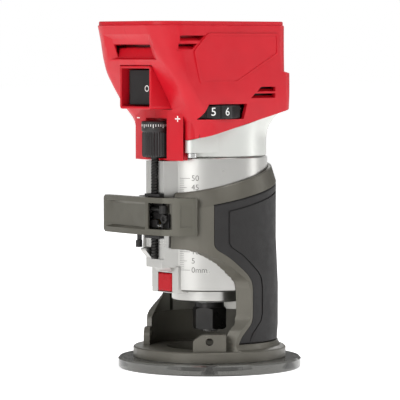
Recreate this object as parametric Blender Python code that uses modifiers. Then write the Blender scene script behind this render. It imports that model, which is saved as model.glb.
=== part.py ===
"""Cordless trim router in a fixed clamp base with a micro-adjusting screw.

Every size is in millimetres and MM turns it into metres.  The router frame has the spindle axis
on Z, the front at -Y and the underside of the sub-base at Z = 0.  "front" values are distances
in front of the spindle axis, so a front value F lies at Y = -F.
"""
import math

import bmesh
import bpy
from mathutils import Matrix, Vector

MM = 0.001
GAP = 0.3                     # air left between neighbouring pieces
WELD = 0.00001                # metres
AXIS_SHIFT_Y = 4.85           # moves the spindle axis so that the origin is the box's bottom centre
ROUND = 48                    # sides of a large turned piece
SMALL = 16                    # sides of a small one

# Sub-base and foot
PLATE_RADIUS = 50.8
PLATE_HEIGHT = 5.8
PLATE_HOLE_RADIUS = 16.0
PLATE_SCREW_CIRCLE = 36.4
PLATE_SCREW_ANGLES = (50.0, 130.0, 230.0, 310.0)      # from the front, towards +X
FOOT_RADIUS = 42.3
FOOT_TOP = 11.5
FOOT_HOLE_RADIUS = 24.0

# Clamp barrel of the base
BORE_RADIUS = 32.3
BARREL_RADIUS = 36.8
BARREL_FOOT_RADIUS = 38.0
GRIP_BED_RADIUS = 35.4
CAVITY_RADIUS = 33.4
RIM_HEIGHT = 105.5            # of the sloping rim, over the spindle axis
RIM_SLOPE = 0.245             # rise towards the rear
# height of the front opening, and the angle from the front that its inner edge has there
OPENING = ((11.8, 60.5), (15.0, 62.0), (19.0, 63.5), (23.0, 66.7), (26.5, 72.0), (30.5, 76.4),
           (44.0, 76.3), (46.5, 75.8), (50.0, 73.5), (54.9, 65.0), (57.9, 59.5), (61.1, 52.0),
           (64.8, 39.5), (66.6, 30.0), (67.4, 20.0))
OPENING_FLARE = 9.2           # degrees by which its edge turns on from the bore to the outside
SPLIT_HALF_WIDTH = 9.7
LUG_BOTTOM = 75.0
LUG_TOP = 95.5
PAD_ANGLE = 50.0
PAD_TOP = 21.3

# Rubber grip
GRIP_INNER = 35.7
GRIP_TOP = 96.3
GRIP_SLOPE = 0.22
GRIP_BOTTOM = 15.7

# Clamp lever and its eye bolt
LEVER_PIVOT = (23.6, 31.4)    # x, front
LEVER_BACK = 41.2
LEVER_HUB_RADIUS = 2.6
KNUCKLE_BOTTOM = 80.0
KNUCKLE_TOP = 90.6
WINDOW_BOTTOM = 78.3
WINDOW_TOP = 92.6
BOLT_FRONT = 42.4
BOLT_HEIGHT = 89.2
BOLT_RADIUS = 1.2
BOLT_HEAD_X = 11.5
PIN_RADIUS = 1.2

# Depth-adjusting screw
SCREW_FRONT = 39.0
SCREW_RADIUS = 1.9
KNOB_RADIUS = 7.25
KNOB_BOTTOM = 117.3
KNOB_TOP = 137.0
SLIDER_BOTTOM = 79.0
SLIDER_TOP = 83.3

# Motor housing
MOTOR_RADIUS = 32.0
MOTOR_BOTTOM = 44.0
MOTOR_TOP = 117.0
MOTOR_INNER = 29.0
RAIL_FRONT = 39.6
RAIL_HALF_WIDTH = 6.8
RAIL_ROOT_HALF_WIDTH = 9.8
RAIL_BOTTOM = 57.0
RAIL_TOP = 115.2
BLOCK_TOP = 67.4
BUTTON_HALF_WIDTH = 5.85
BUTTON_BOTTOM = 43.6
BUTTON_TOP = 53.6
LOCK_PIN_HEIGHT = 49.3

# Spindle
SHAFT_RADIUS = 4.0
LOWER_BEARING = (6.0, 14.0, 38.4, 46.4)      # bore, outer radius, bottom, top
UPPER_BEARING = (4.0, 11.0, 119.0, 126.0)
NUT_FLATS = 17.0
NUT_BOTTOM = 21.0
NUT_TOP = 37.0

# Upper collar and the red housing
COLLAR_RADIUS = 31.4
PARTING_HEIGHT = 135.3        # of the sloping parting line, over the spindle axis
PARTING_SLOPE = 0.245
EAR_CENTRE = (21.5, 30.7)     # x, front
EAR_BOTTOM = 120.0
WALL = 2.4
DOCK_FLOOR = 181.0
DOCK_HALF_WIDTH = 25.5
DOCK_MOUTH_HALF_WIDTH = 22.0
DOCK_FRONT = 42.0
# height, front, rear, half width, front corner radius of the housing's outer sections
HOUSING_SECTIONS = (
    (112.0, 31.0, 31.0, 31.0, 12.0),
    (137.0, 34.2, 33.0, 32.0, 12.0),
    (141.5, 37.2, 33.0, 32.5, 11.0),
    (145.0, 39.0, 33.0, 32.8, 8.0),
    (151.0, 42.3, 33.0, 33.2, 6.0),
    (162.6, 49.6, 33.0, 33.2, 5.6),
    (163.6, 50.2, 29.2, 32.7, 5.8),
    (171.0, 54.0, 29.0, 32.7, 9.8),
    (180.0, 57.6, 29.0, 32.7, 13.5),
    (188.6, 60.4, 29.0, 32.7, 15.0),
    (189.0, 59.8, 28.4, 32.1, 15.0),
    (191.0, 59.8, 28.4, 32.1, 15.0),
)
REAR_CORNER = 6.0
DIAL_CENTRE = (16.4, 15.4)    # x, front
DIAL_RADIUS = 18.0
DIAL_BOTTOM = 138.4
DIAL_TOP = 145.6
ROCKER_PIVOT_FRONT = 44.0
ROCKER_TILT = math.radians(7.0)
BEZEL = (13.5, 143.5, 167.0, 52.6)           # half width, bottom, top, front
HOUSING_SCREWS = ((44.0, 174.0), (-22.0, 172.0), (-26.4, 151.0), (24.0, 166.0))   # front, height


def clear_scene():
    for old in list(bpy.data.objects):
        bpy.data.objects.remove(old, do_unlink=True)


def collection(name):
    made = bpy.data.collections.new(name)
    bpy.context.scene.collection.children.link(made)
    return made


def material(name, colour, roughness, metallic=0.0, alpha=1.0):
    made = bpy.data.materials.new(name)
    made.use_nodes = True
    shader = made.node_tree.nodes["Principled BSDF"]
    shader.inputs["Base Color"].default_value = (*colour, 1.0)
    shader.inputs["Roughness"].default_value = roughness
    shader.inputs["Metallic"].default_value = metallic
    shader.inputs["Alpha"].default_value = alpha
    made.diffuse_color = (*colour, alpha)
    return made


clear_scene()
PARTS = collection("trim_router")
CUTTERS = collection("cutters")
AXIS = bpy.data.objects.new("router_axis", None)
PARTS.objects.link(AXIS)
AXIS.location = (0.0, AXIS_SHIFT_Y * MM, 0.0)

RED = material("red_plastic", (0.62, 0.02, 0.03), 0.4)
BLACK = material("black_plastic", (0.03, 0.028, 0.027), 0.5)
RUBBER = material("grip_rubber", (0.045, 0.042, 0.041), 0.8)
SMOKE = material("smoked_plastic", (0.05, 0.045, 0.035), 0.2, alpha=0.8)
CAST = material("painted_casting", (0.17, 0.155, 0.13), 0.5, 0.6)
SILVER = material("silver_casting", (0.68, 0.67, 0.62), 0.45, 0.7)
MACHINED = material("machined_aluminium", (0.5, 0.48, 0.44), 0.3, 0.9)
LEVER_GREY = material("lever_metal", (0.1, 0.09, 0.07), 0.5, 0.5)
STEEL = material("steel", (0.5, 0.5, 0.5), 0.3, 1.0)
DARK_STEEL = material("black_oxide_steel", (0.04, 0.038, 0.036), 0.4, 0.8)
BRASS = material("brass", (0.7, 0.5, 0.2), 0.35, 1.0)
BOARD = material("potted_board", (0.02, 0.03, 0.03), 0.5)
CLEAR = material("clear_lens", (0.85, 0.87, 0.88), 0.15, alpha=0.6)
LEAD = material("lead_insulation", (0.25, 0.02, 0.02), 0.5)


# ---------------------------------------------------------------- making solids

def mesh_object(name, mesh, paint=None):
    made = bpy.data.objects.new(name, mesh)
    made.parent = AXIS
    if paint is None:
        CUTTERS.objects.link(made)
        made.hide_render = True
        made.display_type = 'WIRE'
    else:
        PARTS.objects.link(made)
        mesh.materials.append(paint)
        mesh.set_sharp_from_angle(angle=math.radians(35.0))
    return made


def from_bmesh(name, bm, paint=None):
    bmesh.ops.remove_doubles(bm, verts=bm.verts, dist=WELD)
    bmesh.ops.recalc_face_normals(bm, faces=bm.faces)
    mesh = bpy.data.meshes.new(name)
    bm.to_mesh(mesh)
    bm.free()
    return mesh_object(name, mesh, paint)


def add_box(bm, x, y, z):
    """Adds a box between the two values of each of x, y and z."""
    size = [abs(pair[1] - pair[0]) * MM for pair in (x, y, z)]
    middle = [(pair[0] + pair[1]) * MM / 2.0 for pair in (x, y, z)]
    place = Matrix.Translation(middle) @ Matrix.Diagonal((*size, 1.0))
    bmesh.ops.create_cube(bm, size=1.0, matrix=place)


def add_rod(bm, start, end, radius, sides=SMALL, end_radius=None):
    """Adds a cylinder, or a cone, between two points."""
    first, last = Vector(start) * MM, Vector(end) * MM
    run = last - first
    turn = Vector((0.0, 0.0, 1.0)).rotation_difference(run.normalized()).to_matrix().to_4x4()
    place = Matrix.Translation((first + last) / 2.0) @ turn
    tip = radius if end_radius is None else end_radius
    bmesh.ops.create_cone(bm, cap_ends=True, segments=sides, radius1=radius * MM,
                          radius2=tip * MM, depth=run.length, matrix=place)


def box(name, x, y, z, paint=None):
    bm = bmesh.new()
    add_box(bm, x, y, z)
    return from_bmesh(name, bm, paint)


def rod(name, start, end, radius, paint=None, sides=SMALL, end_radius=None):
    bm = bmesh.new()
    add_rod(bm, start, end, radius, sides, end_radius)
    return from_bmesh(name, bm, paint)


def baked(name, source, paint):
    """Turns an evaluated object into a welded mesh object and removes the source."""
    bpy.context.view_layer.update()
    seen = source.evaluated_get(bpy.context.evaluated_depsgraph_get())
    mesh = bpy.data.meshes.new_from_object(seen)
    mesh.name = name
    bm = bmesh.new()
    bm.from_mesh(mesh)
    bm.transform(source.matrix_basis)
    bmesh.ops.remove_doubles(bm, verts=bm.verts, dist=WELD)
    bmesh.ops.recalc_face_normals(bm, faces=bm.faces)
    bm.to_mesh(mesh)
    bm.free()
    mesh.materials.clear()
    bpy.data.objects.remove(source)
    return mesh_object(name, mesh, paint)


def turned(name, profile, paint=None, steps=ROUND, at=(0.0, 0.0), closed=True):
    """Turns a profile of (radius, height) points; it runs down its outer side."""
    mesh = bpy.data.meshes.new(name + "_profile")
    points = [(radius * MM, 0.0, height * MM) for radius, height in profile]
    edges = [(i, i + 1) for i in range(len(points) - 1)]
    if closed:
        edges.append((len(points) - 1, 0))
    mesh.from_pydata(points, edges, [])
    source = bpy.data.objects.new(name + "_source", mesh)
    CUTTERS.objects.link(source)
    screw = source.modifiers.new("turn", 'SCREW')
    screw.steps = steps
    screw.render_steps = steps
    screw.use_merge_vertices = True
    screw.merge_threshold = WELD
    source.location = (at[0] * MM, at[1] * MM, 0.0)
    return baked(name, source, paint)


def disc(name, profile, paint=None, steps=ROUND, at=(0.0, 0.0)):
    """Turns a solid piece, whose profile starts and ends on the axis."""
    return turned(name, profile, paint, steps, at, closed=False)


def outline(name, points, low, high, along='Z', paint=None):
    """Extrudes a flat outline.  Its points are (x, y) along Z, (x, z) along Y, (y, z) along X."""
    curve = bpy.data.curves.new(name + "_curve", 'CURVE')
    curve.dimensions = '2D'
    curve.fill_mode = 'BOTH'
    curve.extrude = (high - low) * MM / 2.0
    spline = curve.splines.new('POLY')
    spline.points.add(len(points) - 1)
    for point, (u, v) in zip(spline.points, points):
        point.co = (u * MM, v * MM, 0.0, 1.0)
    spline.use_cyclic_u = True
    source = bpy.data.objects.new(name + "_source", curve)
    CUTTERS.objects.link(source)
    middle = (low + high) * MM / 2.0
    turns = {
        'Z': Matrix.Translation((0.0, 0.0, middle)),
        'Y': Matrix.Translation((0.0, middle, 0.0)) @ Matrix.Rotation(math.pi / 2.0, 4, 'X'),
        'X': Matrix.Translation((middle, 0.0, 0.0)) @ Matrix(((0, 0, 1, 0), (1, 0, 0, 0),
                                                             (0, 1, 0, 0), (0, 0, 0, 1))),
    }
    source.matrix_basis = turns[along]
    return baked(name, source, paint)


def tube(name, points, radius, paint, resolution=2):
    curve = bpy.data.curves.new(name + "_curve", 'CURVE')
    curve.dimensions = '3D'
    curve.bevel_depth = radius * MM
    curve.bevel_resolution = resolution
    curve.use_fill_caps = True
    spline = curve.splines.new('POLY')
    spline.points.add(len(points) - 1)
    for point, place in zip(spline.points, points):
        point.co = (*(Vector(place) * MM), 1.0)
    source = bpy.data.objects.new(name + "_source", curve)
    CUTTERS.objects.link(source)
    return baked(name, source, paint)


def loft(name, rings, paint=None):
    """Skins closed rings of equally many points, and caps the first and the last."""
    bm = bmesh.new()
    rows = [[bm.verts.new(Vector(point) * MM) for point in ring] for ring in rings]
    for low, high in zip(rows, rows[1:]):
        for i, vert in enumerate(low):
            j = (i + 1) % len(low)
            bm.faces.new((vert, low[j], high[j], high[i]))
    bm.faces.new(rows[0])
    bm.faces.new(rows[-1])
    return from_bmesh(name, bm, paint)


def boolean(target, tool, operation):
    change = target.modifiers.new(tool.name, 'BOOLEAN')
    change.operation = operation
    change.solver = 'EXACT'
    change.object = tool
    if tool.name in PARTS.objects:
        PARTS.objects.unlink(tool)
        CUTTERS.objects.link(tool)
    tool.hide_render = True
    tool.display_type = 'WIRE'


def cut(target, *tools):
    for tool in tools:
        boolean(target, tool, 'DIFFERENCE')


def join(target, *tools):
    for tool in tools:
        boolean(target, tool, 'UNION')


def pivot_at(piece, x, y, z):
    """Moves a piece's origin onto its joint, leaving the shape where it is."""
    place = Vector((x, y, z)) * MM
    piece.data.transform(Matrix.Translation(-place))
    piece.location = place


def polar(angle, radius):
    """x and y of a point at an angle in degrees from the front, towards +X."""
    turn = math.radians(angle)
    return radius * math.sin(turn), -radius * math.cos(turn)


def arc(centre, radius, start, end, count):
    """Points on an arc in the plane; angles in degrees from +X."""
    made = []
    for i in range(count + 1):
        turn = math.radians(start + (end - start) * i / count)
        made.append((centre[0] + radius * math.cos(turn), centre[1] + radius * math.sin(turn)))
    return made


def slope_cutter(name, height, slope, keep_below=True):
    """A block above, or below, a plane that rises towards the rear."""
    reach = 160.0
    bm = bmesh.new()
    add_box(bm, (-reach, reach), (-reach, reach), (0.0, reach) if keep_below else (-reach, 0.0))
    tilt = Matrix.Translation((0.0, 0.0, height * MM)) @ Matrix.Rotation(math.atan(slope), 4, 'X')
    bm.transform(tilt)
    return from_bmesh(name, bm)


# ---------------------------------------------------------------- base

def make_sub_base():
    edge = 0.8
    plate = turned("sub_base", [
        (PLATE_HOLE_RADIUS, PLATE_HEIGHT), (PLATE_RADIUS - edge, PLATE_HEIGHT),
        (PLATE_RADIUS, PLATE_HEIGHT - edge), (PLATE_RADIUS, 0.0),
        (PLATE_HOLE_RADIUS, 0.0)], SMOKE)
    for angle in PLATE_SCREW_ANGLES:
        x, y = polar(angle, PLATE_SCREW_CIRCLE)
        hole = disc("sub_base_hole_%d" % angle, [
            (0.0, 8.0), (2.35, 8.0), (2.35, 3.1), (4.25, 0.9), (4.25, -1.0), (0.0, -1.0)],
            steps=SMALL, at=(x, y))
        cut(plate, hole)
    return plate


def make_sub_base_screws():
    for number, angle in enumerate(PLATE_SCREW_ANGLES, 1):
        disc("sub_base_screw_%d" % number, [
            (0.0, 11.0), (1.6, 11.0), (1.95, 10.5), (1.95, 3.0), (3.8, 1.0), (3.8, 0.7),
            (0.0, 0.7)], STEEL, steps=SMALL, at=polar(angle, PLATE_SCREW_CIRCLE))


def opening_ring(height, angle):
    """The front opening's outline at one height: its edges face half outwards."""
    turn, on = math.radians(angle), math.radians(angle + OPENING_FLARE)
    near = Vector((BORE_RADIUS * math.sin(turn), -BORE_RADIUS * math.cos(turn)))
    far = Vector((37.4 * math.sin(on), -37.4 * math.cos(on)))
    inner, outer = near + (near - far) * 1.3, far + (far - near) * 1.6
    half = [inner, outer, Vector((75.0, outer.y)), Vector((75.0, -75.0))]
    return ([(x, y, height) for x, y in half] + [(-x, y, height) for x, y in reversed(half)])


def pad_block(number, side):
    """A wall across the foot at either side of the opening, with its inner top corner cut off."""
    half_width, reach = (9.0, 39.0) if side > 0.0 else (4.0, 37.0)
    inner, outer = side * -half_width, side * half_width
    points = [(inner, FOOT_TOP - 1.0), (inner, PAD_TOP - 3.5), (inner + side * 0.55 * half_width, PAD_TOP),
              (outer, PAD_TOP), (outer, FOOT_TOP - 1.0)]
    block = outline("pad_block_%d" % number, points, -reach, -31.0, 'Y')
    block.data.transform(Matrix.Rotation(math.radians(side * PAD_ANGLE), 4, 'Z'))
    return block


def leaning(piece, height, slope):
    """Shears everything over a height, so that a turned rim rises towards the rear."""
    for vert in piece.data.vertices:
        if vert.co.z > height * MM:
            vert.co.z += slope * vert.co.y
    return piece


def grip_form(name, inner, outer_gap, low, top, paint=None):
    """The turned form of the grip, or of the bed that it sits in."""
    return leaning(turned(name, [
        (inner, top), (BARREL_RADIUS + outer_gap - 0.8, top), (BARREL_RADIUS + outer_gap, top - 0.8),
        (BARREL_RADIUS + outer_gap, 72.0), (BARREL_FOOT_RADIUS + outer_gap, 46.0),
        (BARREL_FOOT_RADIUS + outer_gap, 24.0), (BARREL_FOOT_RADIUS + outer_gap - 0.5, low + 0.6),
        (BARREL_FOOT_RADIUS + outer_gap - 1.1, low), (inner, low)], paint), 84.0, GRIP_SLOPE)


def grip_front(name, shift):
    """Everything in front of the grip's outline, as a block along X."""
    points = [(-21.4, 130.0), (-21.4, 69.5), (-20.2, 67.2), (-13.8, 62.7), (-3.6, 53.2), (-1.2, 49.4),
              (-0.7, 45.0), (-0.7, 30.0), (-1.8, 26.4), (-8.0, 19.6), (-10.1, 14.6), (-10.4, 5.0),
              (-70.0, 5.0), (-70.0, 130.0)]
    return outline(name, [(y - shift, z) for y, z in points], -60.0, 60.0, 'X')


def make_base_casting():
    casting = disc("base_casting", [
        (0.0, RIM_HEIGHT), (33.7, RIM_HEIGHT), (34.3, RIM_HEIGHT - 0.6), (BARREL_RADIUS - 0.3, 97.4),
        (BARREL_RADIUS, 96.4), (BARREL_RADIUS, 72.0), (BARREL_FOOT_RADIUS, 46.0),
        (BARREL_FOOT_RADIUS, 15.2), (39.2, 13.2), (39.4, 12.4),
        (41.6, 12.0), (FOOT_RADIUS, FOOT_TOP - 0.3), (FOOT_RADIUS, PLATE_HEIGHT + GAP),
        (0.0, PLATE_HEIGHT + GAP)], CAST)
    leaning(casting, 84.0, RIM_SLOPE)
    bed = grip_form("grip_bed", GRIP_BED_RADIUS, 6.0, GRIP_BOTTOM - GAP, GRIP_TOP + GAP)
    cut(bed, grip_front("grip_bed_front", GAP))
    cut(casting, bed,
        loft("front_opening", [opening_ring(*level) for level in OPENING]))
    x, front = LEVER_PIVOT
    cut(casting, *[rod("hub_room_%s" % level, (x, -front, low), (x, -front, high),
                       LEVER_HUB_RADIUS + GAP, sides=24)
                   for level, low, high in (("low", LUG_BOTTOM - GAP, KNUCKLE_BOTTOM - GAP),
                                            ("high", KNUCKLE_TOP + GAP, LUG_TOP + GAP))])
    join_lugs(casting)
    cut(casting, disc("bore", [
        (0.0, 130.0), (BORE_RADIUS, 130.0), (BORE_RADIUS, 29.0), (CAVITY_RADIUS, 26.5),
        (CAVITY_RADIUS, FOOT_TOP), (FOOT_HOLE_RADIUS, FOOT_TOP), (FOOT_HOLE_RADIUS, 1.0),
        (0.0, 1.0)]),
        box("split", (-SPLIT_HALF_WIDTH, SPLIT_HALF_WIDTH), (-60.0, -20.0), (60.0, 130.0)))
    cut_casting_holes(casting)


def join_lugs(casting):
    """The clamp lugs at either side of the split, the lever's knuckle and the two pads."""
    right = [(9.0, -28.0), (9.0, -39.3), (13.2, -39.3), (20.2, -33.8), (20.6, -28.0)]
    left = [(-x, y) for x, y in right]
    x, front = LEVER_PIVOT
    inward = math.atan2(x, front)
    web = [(x - 2.6 * math.cos(inward), -front - 2.6 * math.sin(inward)),
           (x + 2.6 * math.cos(inward), -front + 2.6 * math.sin(inward)),
           (x - 3.0, -front + 9.0), (x - 7.0, -front + 5.0)]
    join(casting, outline("lug_right", right, LUG_BOTTOM, LUG_TOP),
         outline("lug_left", left, LUG_BOTTOM, LUG_TOP),
         box("lug_left_nose", (-13.9, -9.0), (-44.6, -38.0), (85.8, 92.1)),
         outline("knuckle_web", web, KNUCKLE_BOTTOM, KNUCKLE_TOP),
         rod("knuckle", (x, -front, KNUCKLE_BOTTOM), (x, -front, KNUCKLE_TOP), 2.6),
         pad_block(1, 1.0), pad_block(2, -1.0))


def cut_casting_holes(casting):
    for number, angle in enumerate(PLATE_SCREW_ANGLES, 1):
        x, y = polar(angle, PLATE_SCREW_CIRCLE)
        cut(casting, rod("plate_screw_hole_%d" % number, (x, y, 0.0), (x, y, 11.4), 2.25, sides=12))
    for number, angle in enumerate((PAD_ANGLE, -PAD_ANGLE), 1):
        x, y = polar(angle, 30.0)
        far_x, far_y = polar(angle, 45.0)
        cut(casting, rod("pad_hole_%d" % number, (x, y, 17.4), (far_x, far_y, 17.4), 2.1, sides=12))
    x, front = LEVER_PIVOT
    cut(casting, rod("eye_bolt_hole", (-20.0, -BOLT_FRONT, BOLT_HEIGHT),
                     (-5.0, -BOLT_FRONT, BOLT_HEIGHT), BOLT_RADIUS + GAP, sides=12),
        rod("carrier_screw_hole", (12.0, -45.0, 84.2), (12.0, -33.5, 84.2), 1.35, sides=12),
        rod("knuckle_hole", (x, -front, 70.0), (x, -front, 100.0), PIN_RADIUS + GAP, sides=12))


def make_grip():
    """Rubber moulded round the back and sides, open at the front."""
    grip = grip_form("grip_overmold", GRIP_INNER, 0.0, GRIP_BOTTOM, GRIP_TOP, RUBBER)
    cut(grip, grip_front("grip_front", 0.0))


# ---------------------------------------------------------------- clamp

def make_clamp_lever():
    """A front plate with a window, and a pad that wraps round to the pivot on the right."""
    x, front = LEVER_PIVOT
    hub = arc((x, -front), LEVER_HUB_RADIUS, -38.0, 142.0, 8)
    rest = [(20.9, 34.6), (14.2, 39.9), (12.8, LEVER_BACK), (-38.6, LEVER_BACK), (-39.6, 42.4),
            (-39.2, 43.9), (-30.0, 45.2), (-15.0, 46.4), (0.0, 46.2), (11.5, 45.0), (14.6, 43.0),
            (20.5, 38.7)]
    lever = outline("clamp_lever", hub + [(u, -v) for u, v in rest], LUG_BOTTOM, LUG_TOP,
                    paint=LEVER_GREY)
    cut(lever, box("lever_window", (-1.0, 14.9), (-50.0, -35.0), (WINDOW_BOTTOM, WINDOW_TOP)),
        box("lever_pocket", (-21.0, 0.0), (-45.2, -40.0), (WINDOW_BOTTOM, WINDOW_TOP)),
        rod("knuckle_room", (x, -front, KNUCKLE_BOTTOM - GAP), (x, -front, KNUCKLE_TOP + GAP),
            LEVER_HUB_RADIUS + GAP),
        rod("lever_pin_hole", (x, -front, 70.0), (x, -front, 100.0), PIN_RADIUS + GAP, sides=12))
    pivot_at(lever, x, -front, 0.0)


def make_clamp_hardware():
    """The bolt across the split: its cross head lies in the lever's window."""
    bolt = rod("tension_bolt", (BOLT_HEAD_X, -BOLT_FRONT, 87.0), (BOLT_HEAD_X, -BOLT_FRONT, 91.4),
               2.2, STEEL)
    join(bolt, rod("bolt_shank", (BOLT_HEAD_X - 1.0, -BOLT_FRONT, BOLT_HEIGHT),
                   (-17.6, -BOLT_FRONT, BOLT_HEIGHT), BOLT_RADIUS, sides=12))
    nut = rod("tension_nut", (-16.6, -BOLT_FRONT, BOLT_HEIGHT), (-14.3, -BOLT_FRONT, BOLT_HEIGHT),
              2.7, STEEL, 6)
    cut(nut, rod("tension_nut_hole", (-20.0, -BOLT_FRONT, BOLT_HEIGHT),
                 (-10.0, -BOLT_FRONT, BOLT_HEIGHT), BOLT_RADIUS + GAP, sides=12))
    x, front = LEVER_PIVOT
    rod("lever_pin", (x, -front, 75.4), (x, -front, 95.1), PIN_RADIUS, STEEL, sides=12)


def make_carrier():
    """The black bracket on the right lug that guides the half nut."""
    top, bottom = 97.4, 73.2
    carrier = box("adjust_carrier", (-9.3, 9.3), (-40.9, -39.95), (bottom, top), BLACK)
    join(carrier, box("carrier_top_bar", (-9.3, 9.3), (-43.4, -40.0), (95.9, top)),
         box("carrier_bottom_bar", (-9.3, 9.3), (-43.4, -40.0), (bottom, 74.6)),
         box("carrier_flange", (9.0, 14.4), (-40.9, -39.95), (79.0, 91.5)),
         box("carrier_stop", (10.4, 11.6), (-43.0, -40.5), (79.0, 81.6)))
    cut(carrier, rod("carrier_screw_way", (0.0, -SCREW_FRONT, 60.0), (0.0, -SCREW_FRONT, 110.0), 2.4),
        box("half_nut_window", (-2.9, 9.7), (-42.0, -39.0), (78.6, 83.7)),
        box("slider_room", (-20.0, -7.1), (-45.0, -39.0), (60.0, 83.7)),
        box("bolt_head_room", (9.0, 15.0), (-45.0, -39.0), (86.6, 92.0)),
        rod("carrier_hole", (12.0, -45.0, 84.2), (12.0, -35.0, 84.2), 1.6, sides=12))
    screw = rod("carrier_screw", (12.0, -41.2, 84.2), (12.0, -42.5, 84.2), 2.5, STEEL)
    join(screw, rod("carrier_screw_shank", (12.0, -41.8, 84.2), (12.0, -34.5, 84.2), 1.05, sides=12))


def make_release():
    """Stamped slider with its button, the half nut that it carries, and its spring."""
    slider = box("release_slider", (-13.2, 6.5), (-42.6, -41.25), (SLIDER_BOTTOM, SLIDER_TOP), BLACK)
    join(slider, box("slider_elbow", (-13.2, -10.0), (-42.6, -39.95), (SLIDER_BOTTOM, SLIDER_TOP)),
         box("slider_leg", (-13.2, -10.0), (-40.9, -39.95), (68.0, SLIDER_TOP)),
         outline("slider_button", [(-13.0, -39.95), (-13.0, -41.8), (-12.2, -42.6), (-10.4, -42.6),
                                   (-9.6, -41.8), (-9.6, -39.95)], 67.6, 71.4))
    nut = box("half_nut", (0.6, 6.4), (-40.95, -39.95), (SLIDER_BOTTOM, SLIDER_TOP), BRASS)
    cut(nut, rod("half_nut_thread", (0.0, -SCREW_FRONT, 70.0), (0.0, -SCREW_FRONT, 90.0),
                 SCREW_RADIUS + GAP))
    coil("release_spring", (6.8, -41.9, 80.3), (1.0, 0.0, 0.0), 3.3, 0.75, 0.16, 3.5)


def coil(name, start, direction, length, radius, wire, turns):
    """A compression spring from a point, along X or Y."""
    ahead = Vector(direction)
    side = Vector((0.0, 0.0, 1.0))
    across = ahead.cross(side)
    per_turn = 9
    count = int(turns * per_turn)
    points = []
    for i in range(count + 1):
        turn = 2.0 * math.pi * i / per_turn
        along = wire + (length - 2.0 * wire) * i / count
        points.append(Vector(start) + ahead * along
                      + (side * math.cos(turn) + across * math.sin(turn)) * radius)
    return tube(name, points, wire, STEEL, resolution=1)


# ---------------------------------------------------------------- motor

def make_motor_housing():
    housing = turned("motor_housing", [
        (MOTOR_INNER, MOTOR_TOP), (MOTOR_RADIUS - 0.5, MOTOR_TOP), (MOTOR_RADIUS, MOTOR_TOP - 0.5),
        (MOTOR_RADIUS, MOTOR_BOTTOM + 0.8), (MOTOR_RADIUS - 0.8, MOTOR_BOTTOM),
        (14.4, MOTOR_BOTTOM), (14.4, MOTOR_BOTTOM + 3.0), (MOTOR_INNER, MOTOR_BOTTOM + 3.4)],
        MACHINED)
    rail = [(-RAIL_ROOT_HALF_WIDTH, -30.0), (-RAIL_HALF_WIDTH, -RAIL_FRONT),
            (RAIL_HALF_WIDTH, -RAIL_FRONT), (RAIL_ROOT_HALF_WIDTH, -30.0)]
    block = [(-30.0, BLOCK_TOP + 0.6), (-RAIL_FRONT + 0.1, BLOCK_TOP + 0.6), (-43.4, BLOCK_TOP),
             (-43.4, BLOCK_TOP - 1.2), (-31.5, 54.0), (-30.0, 54.0)]
    join(housing, outline("rail", rail, RAIL_BOTTOM, RAIL_TOP),
         outline("screw_bearing", block, -RAIL_HALF_WIDTH, RAIL_HALF_WIDTH, 'X'),
         box("lock_boss", (-11.3, 11.3), (-31.8, -24.5), (42.8, 57.5)))
    cut(housing, box("screw_groove", (-2.4, 2.4), (-50.0, -36.0), (61.7, 120.0)),
        rod("screw_seat", (0.0, -SCREW_FRONT, 61.7), (0.0, -SCREW_FRONT, 130.0), 2.35),
        box("lock_pocket", (-BUTTON_HALF_WIDTH - GAP, BUTTON_HALF_WIDTH + GAP), (-40.0, -26.2),
            (BUTTON_BOTTOM - GAP, BUTTON_TOP + GAP)),
        rod("lock_pin_way", (0.0, -30.0, LOCK_PIN_HEIGHT), (0.0, -20.0, LOCK_PIN_HEIGHT), 1.9))


def make_lock_button():
    front = 32.2
    button = box("spindle_lock_button", (-BUTTON_HALF_WIDTH, BUTTON_HALF_WIDTH), (-front, -29.6),
                 (BUTTON_BOTTOM, BUTTON_TOP), RED)
    join(button, rod("lock_pin", (0.0, -31.0, LOCK_PIN_HEIGHT), (0.0, -9.2, LOCK_PIN_HEIGHT), 1.5))
    coil("lock_spring", (0.0, -29.3, LOCK_PIN_HEIGHT), (0.0, 1.0, 0.0), 2.8, 2.3, 0.2, 2.5)


def make_bearing_parts():
    for name, (bore, outer, low, high) in (("lower_bearing", LOWER_BEARING),
                                           ("upper_bearing", UPPER_BEARING)):
        turned(name, [(bore + GAP, high), (outer, high), (outer, low), (bore + GAP, low)],
               STEEL, steps=24)
    ring = turned("bearing_retainer", [
        (14.4, 43.7), (21.0, 43.7), (21.0, 38.1), (20.2, 37.3), (9.0, 37.3), (9.0, 38.1),
        (14.4, 38.1)], SILVER, steps=32)
    for number, angle in enumerate((38.0, -38.0), 1):
        x, y = polar(angle, 17.7)
        cut(ring, rod("lens_hole_%d" % number, (x, y, 30.0), (x, y, 41.0), 2.4, sides=12))
        rod("led_lens_%d" % number, (x, y, 37.0), (x, y, 40.7), 2.1, CLEAR, sides=12)


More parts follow.
